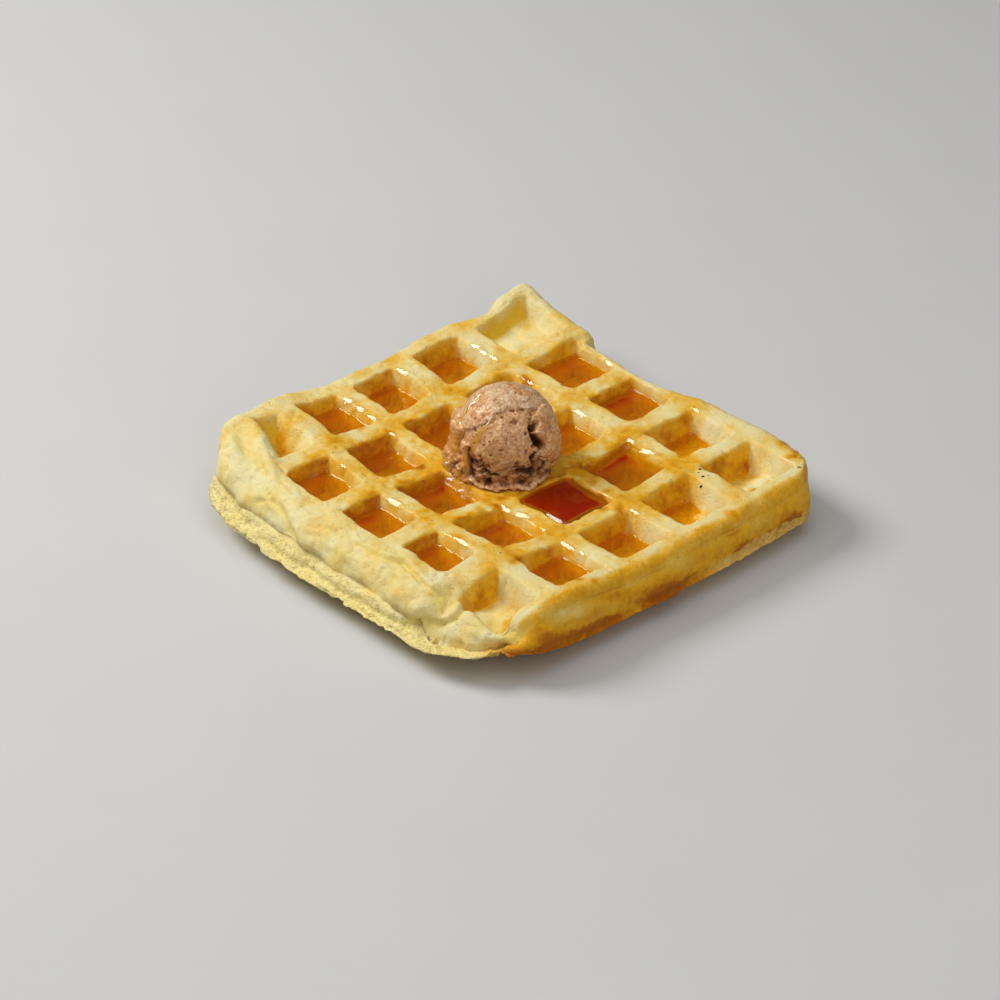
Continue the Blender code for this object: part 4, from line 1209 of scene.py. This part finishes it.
def scoop_form(foot):
    """Points in rings from the scoop's foot to its crown, how much painted shade each takes in its recesses and
    low down, and how glazed each one is.
    """
    along = np.linspace(0.0, SCOOP_BODY + 0.5 * math.pi * SCOOP_RADIUS, SCOOP_RINGS)
    climb = np.clip((along - SCOOP_BODY) / SCOOP_RADIUS, 0.0, None)
    height = np.minimum(along, SCOOP_BODY) + SCOOP_RADIUS * np.sin(climb)
    upwards = height[:, None, None] * UP
    turn = np.linspace(0.0, 2.0 * math.pi, SCOOP_SIDES, endpoint=False)
    direction = np.stack([np.cos(turn), np.sin(turn), 0.0 * turn], axis=-1)
    low = ease(-height, -0.75 * SCOOP_BODY, 0.0)[:, None]
    lip = np.maximum(direction @ np.array(SCOOP_LIP_WAY), 0.0) ** 6
    body = direction * SCOOP_RADIUS + upwards
    crag = [noise.noise(Vector(p) / (6.0 * MM)) for p in body.reshape(-1, 3)]
    crag = np.array(crag).reshape(body.shape[:2])
    spread = 0.9 * MM * crag * (0.4 + low) + SCOOP_LIP * lip * low + SCOOP_FLARE * low
    level_out = np.cos(climb)[:, None, None] * direction
    out = level_out + np.sin(climb)[:, None, None] * UP
    points = level_out * (SCOOP_RADIUS + spread)[..., None] + upwards

    # How it was torn and dragged, over degrees round from the front and millimetres up from its foot
    swirl, ripple = relief(points, 4.0 * MM, 80.0, 3), relief(points, 4.0 * MM, 90.0, 3)
    facing = (np.degrees(turn)[None, :] - SCOOP_FRONT + 180.0) % 360.0 - 180.0 + 5.0 * swirl
    up = along[:, None] / MM + 1.1 * ripple
    ledge = np.interp(facing, *np.array(SCOOP_LEDGE).T)
    in_front = ease(-np.abs(facing), -80.0, -60.0)
    below = (1.0 - ease(up - ledge, -0.3, 0.5)) * in_front
    scooped = below * np.exp(-np.maximum(ledge - up, 0.0) / 8.0)
    jag = relief(points, 1.7 * MM, 95.0, 3)
    tear = np.zeros(facing.shape)
    for way, high, wide, tall, depth in SCOOP_TEARS:
        near = np.exp(-(((facing - way) / wide) ** 2) - ((up - high) / tall) ** 2)
        tear = tear + depth * ease(near + 0.22 * jag, 0.28, 0.80)
    cracks = relief(points, 5.0 * MM, 97.0, 3)
    cracks = ease(-np.abs(cracks), -0.10, -0.01) * ease(relief(points, 7.0 * MM, 99.0), -0.1, 0.5)
    cracks = cracks * np.maximum(ease(facing, 18.0, 34.0), ease(-up, -13.0, -6.0)) * in_front
    flakes = np.zeros(facing.shape)
    for from_way, to_way, from_up, to_up, depth in SCOOP_FLAKES:
        wide = ease(facing, from_way - 3.0, from_way + 2.0) * (1.0 - ease(facing, to_way - 2.0, to_way + 3.0))
        tall = ease(up, from_up - 1.0, from_up + 1.0) * (1.0 - ease(up, to_up - 0.8, to_up + 0.8))
        flakes = flakes + depth * wide * tall
    rim = np.exp(-(((up - 1.1) / 0.8) ** 2)) * ease(-np.abs(facing - 5.0), -62.0, -48.0)

    lower = ease(-height, -13.0 * MM, -3.0 * MM)[:, None]
    crumble = relief(points, 3.2 * MM, 40.0, 4)
    grain = relief(points, 1.1 * MM, 50.0, 2)
    pits = ease(relief(points, 1.5 * MM, 55.0), 0.62, 0.95)
    change = crumble * (0.14 + 0.46 * lower) + grain * (0.07 + 0.22 * lower) - 0.35 * pits * (1.0 - lower)
    undercut = ease(facing, 32.0, 62.0) * (1.0 - ease(facing, 110.0, 150.0)) * ease(-up, -10.0, -1.5)
    change = (change - 2.4 * undercut) * (1.0 - 0.5 * rim)
    change = change - 0.9 * scooped - tear + flakes + rim - 0.8 * cracks * (1.0 - rim)
    points = points + out * (MM * change)[..., None]
    crumbs = np.maximum(-crumble - 0.2, 0.0) * lower * (1.0 - rim)
    # Painted shade: darker in tears, crumbs, pits and cracks, under the ledge and over the lower band, which is
    # also browner; less on the flakes and the lip
    band = ease(-up, -12.0, -5.0) * in_front * (0.30 + 0.20 * swirl) * (1.0 - rim)
    hollow = 0.36 * tear + 0.8 * crumbs + 0.45 * pits * (1.0 - lower) + 0.20 * below
    hollow = np.clip(hollow - 0.3 * flakes + 0.8 * cracks - 0.3 * rim + band, 0.0, 1.0)
    wet = ease(relief(points, 9.0 * MM, 70.0), 0.0, 0.6) * 0.6
    foot_wet = 0.75 * ease(-up, -11.0, -3.0) * (1.0 - 0.7 * rim) * in_front
    run_wet = 0.85 * ease(-facing, 22.0, 45.0) * ease(-up, -26.0, -12.0)
    glazed = np.clip(np.maximum(np.maximum(wet, foot_wet), np.maximum(0.5 * below, run_wet)), 0.0, 1.0)
    return points + np.array(foot), hollow, glazed


def press_scoop(foot):
    points, hollow, glazed = scoop_form(foot)
    index = np.arange(SCOOP_RINGS * SCOOP_SIDES).reshape(SCOOP_RINGS, SCOOP_SIDES)
    faces = []
    for lower, upper in zip(index[:-1], index[1:]):
        faces += np.stack([lower, np.roll(lower, -1), np.roll(upper, -1), upper], axis=-1).tolist()
    crown = points[-1].mean(axis=0)
    base = np.array([foot[0], foot[1], foot[2] - 0.5 * MM])
    everything = np.concatenate([points.reshape(-1, 3), [crown, base]])
    centre = len(everything)
    for k in range(SCOOP_SIDES):
        after = (k + 1) % SCOOP_SIDES
        faces.append((int(index[-1, k]), int(index[-1, after]), centre - 2))
        faces.append((int(index[0, after]), int(index[0, k]), centre - 1))
    measures = {"hollow": np.append(hollow, [0.0, 0.0]), "glazed": np.append(glazed, [0.0, 0.0])}
    scoop = add_piece("scoop_of_butter", everything, faces, whip_butter(), measures)
    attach(scoop, "root")
    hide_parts("butter_scoop")
    return BVHTree.FromPolygons(everything.tolist(), faces)


scoop_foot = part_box("butter_scoop")[0][2] - 0.4 * MM
scoop_tree = press_scoop((SCOOP_PLACE[0] - WAFFLE_MIDDLE[0], SCOOP_PLACE[1] - WAFFLE_MIDDLE[1], scoop_foot))


# Trickles of syrup
# The same syrup where it still runs: two streaks down the butter's front, and three short runs off its foot
# onto the ridge in front of it. Each is a thin round-topped ribbon that clings to what it runs over.
TRICKLE_STEPS = 48
TRICKLE_ACROSS = 9
TRICKLE_SUNK = 0.15 * MM
# Half width, height and the places that each run passes
TRICKLE_PATHS = (
    (1.5, 0.40, ((-5.5, -3.1, 44.6), (-6.1, -6.8, 42.5), (-7.6, -9.7, 38.6), (-7.2, -13.0, 35.0),
                 (-6.3, -15.2, 29.9), (-6.8, -16.0, 23.5))),
    (1.3, 0.40, ((5.3, -5.6, 42.2), (3.9, -8.6, 40.6), (2.6, -11.2, 38.1), (1.6, -13.0, 34.2),
                 (0.6, -14.0, 28.7))),
    (1.4, 0.60, ((-11.3, -14.3, 23.2), (-8.3, -15.6, 19.5), (-4.1, -17.2, 17.7), (-1.4, -18.4, 15.5))),
    (1.2, 0.60, ((-1.9, -15.2, 29.4), (-0.3, -15.5, 23.5), (2.3, -16.1, 18.9), (4.6, -17.5, 15.7))),
    (1.5, 0.80, ((-3.3, -16.6, 23.2), (-1.8, -16.7, 18.7), (1.0, -17.5, 16.6), (3.0, -19.4, 15.2))),
)


def trickle_form(trees, half_width, height, path):
    """A run of syrup laid over what lies under its path, round on top and closed underneath."""
    knots = np.array(path) * MM
    far = np.concatenate([[0.0], np.cumsum(np.linalg.norm(np.diff(knots, axis=0), axis=1))])
    share = np.linspace(0.0, 1.0, TRICKLE_STEPS)
    line = np.stack([np.interp(share * far[-1], far, knots[:, k]) for k in range(3)], axis=-1)
    places, normals = [], []
    for point in line:
        found = min((tree.find_nearest(Vector(point)) for tree in trees), key=lambda hit: hit[3])
        places.append(tuple(found[0]))
        normals.append(tuple(found[1]))
    places, normals = np.array(places), np.array(normals)
    for _ in range(6):
        places[1:-1] = (places[:-2] + 2.0 * places[1:-1] + places[2:]) / 4.0
        normals[1:-1] = (normals[:-2] + 2.0 * normals[1:-1] + normals[2:]) / 4.0
    normals = unit(normals)
    across = unit(np.cross(np.gradient(places, axis=0), normals))
    swell = np.array([1.0 + 0.5 * noise.noise(Vector((9.0 * v, 700.0 * knots[0, 0], 0.0))) for v in share])
    wide = half_width * swell * np.sqrt(1.0 - 0.98 * np.abs(2.0 * share - 1.0) ** 8)
    rings = []
    for c in np.linspace(-1.0, 1.0, TRICKLE_ACROSS):
        up = height * swell * math.sqrt(1.0 - c * c) * (wide / half_width) - TRICKLE_SUNK
        rings.append(places + across * (wide * c)[:, None] + normals * up[:, None])
    rings.append(places - normals * 5.0 * TRICKLE_SUNK)
    return np.stack(rings, axis=1)


def run_syrup(trees):
    points, faces = [], []
    around = TRICKLE_ACROSS + 1
    for half_width, height, path in TRICKLE_PATHS:
        first = len(points)
        rings = trickle_form(trees, half_width * MM, height * MM, path)
        points += rings.reshape(-1, 3).tolist()
        for k in range(TRICKLE_STEPS - 1):
            for i in range(around):
                here, after = first + k * around, (i + 1) % around
                faces.append((here + i, here + after, here + around + after, here + around + i))
        last = len(points) - around
        faces.append(tuple(first + i for i in reversed(range(around))))
        faces.append(tuple(last + i for i in range(around)))
    thickness = {"thickness": np.full(len(points), 0.6)}
    trickles = add_piece("syrup_trickles", points, faces, trickle_syrup, thickness)
    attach(trickles, "root")


trickle_syrup = pour_syrup("trickle_syrup", (1.0, 0.93, 0.72, 1.0), BEAD_THICK, (0.22, 0.22))
run_syrup((waffle_tree, scoop_tree, pools_tree))


# Specks of spice
# Coarse dark grains of the spice that is in the butter, fallen on the ridges at the right and, fewer and
# finer, elsewhere. Each is a small uneven flake that lies on the batter.
SPICE = ((0.018, 0.008, 0.004, 1.0), (0.07, 0.03, 0.012, 1.0))
# Each grain's x, y and size
SPECKS = (
    (45.7, 43.3, 0.42), (48.0, 45.1, 0.38), (49.6, 40.8, 0.45), (51.6, 38.0, 0.50), (50.4, 42.4, 0.26),
    (46.8, 41.6, 0.24), (59.6, 59.6, 0.46), (65.3, 64.2, 0.50), (67.2, 66.3, 0.42), (61.0, 60.4, 0.26),
    (-52.0, -12.5, 0.24), (12.5, -41.0, 0.22), (-36.0, -40.5, 0.24), (41.0, -38.0, 0.22),
    (-12.5, 30.5, 0.24),
)
SPECK_SIDES = 7


def scatter_specks(tree):
    spice = Shader("ground_spice")
    colour = spice.blend(*SPICE, spice.grain(0.3 * MM))
    husk = spice.node("ShaderNodeBsdfPrincipled", None, {"Base Color": colour, "Roughness": 0.6})
    points, faces = [], []
    for x0, y0, size in SPECKS:
        place, normal = tree.ray_cast(Vector((x0 * MM, y0 * MM, 0.1)), DOWN)[:2]
        side = normal.orthogonal()
        first = len(points)
        for high, wide in ((-0.3, 0.5), (0.0, 1.0), (0.35, 0.8)):
            for k in range(SPECK_SIDES):
                turn = 2.0 * math.pi * k / SPECK_SIDES
                seed = Vector((x0 + math.cos(turn), y0 + math.sin(turn), 4.0 * high))
                uneven = 1.0 + 0.5 * noise.noise(seed)
                way = math.cos(turn) * side + 0.7 * math.sin(turn) * normal.cross(side)
                points.append(tuple(place + (way * wide * uneven + normal * high) * size * MM))
        points.append(tuple(place + normal * 0.5 * size * MM))
        top_ring, crown = first + 2 * SPECK_SIDES, first + 3 * SPECK_SIDES
        for k in range(SPECK_SIDES):
            after = (k + 1) % SPECK_SIDES
            for ring in (first, first + SPECK_SIDES):
                faces.append((ring + k, ring + after, ring + SPECK_SIDES + after, ring + SPECK_SIDES + k))
            faces.append((top_ring + k, top_ring + after, crown))
        faces.append(tuple(first + k for k in reversed(range(SPECK_SIDES))))
    specks = add_piece("spice_specks", points, faces, spice.done(husk))
    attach(specks, "root")


scatter_specks(waffle_tree)
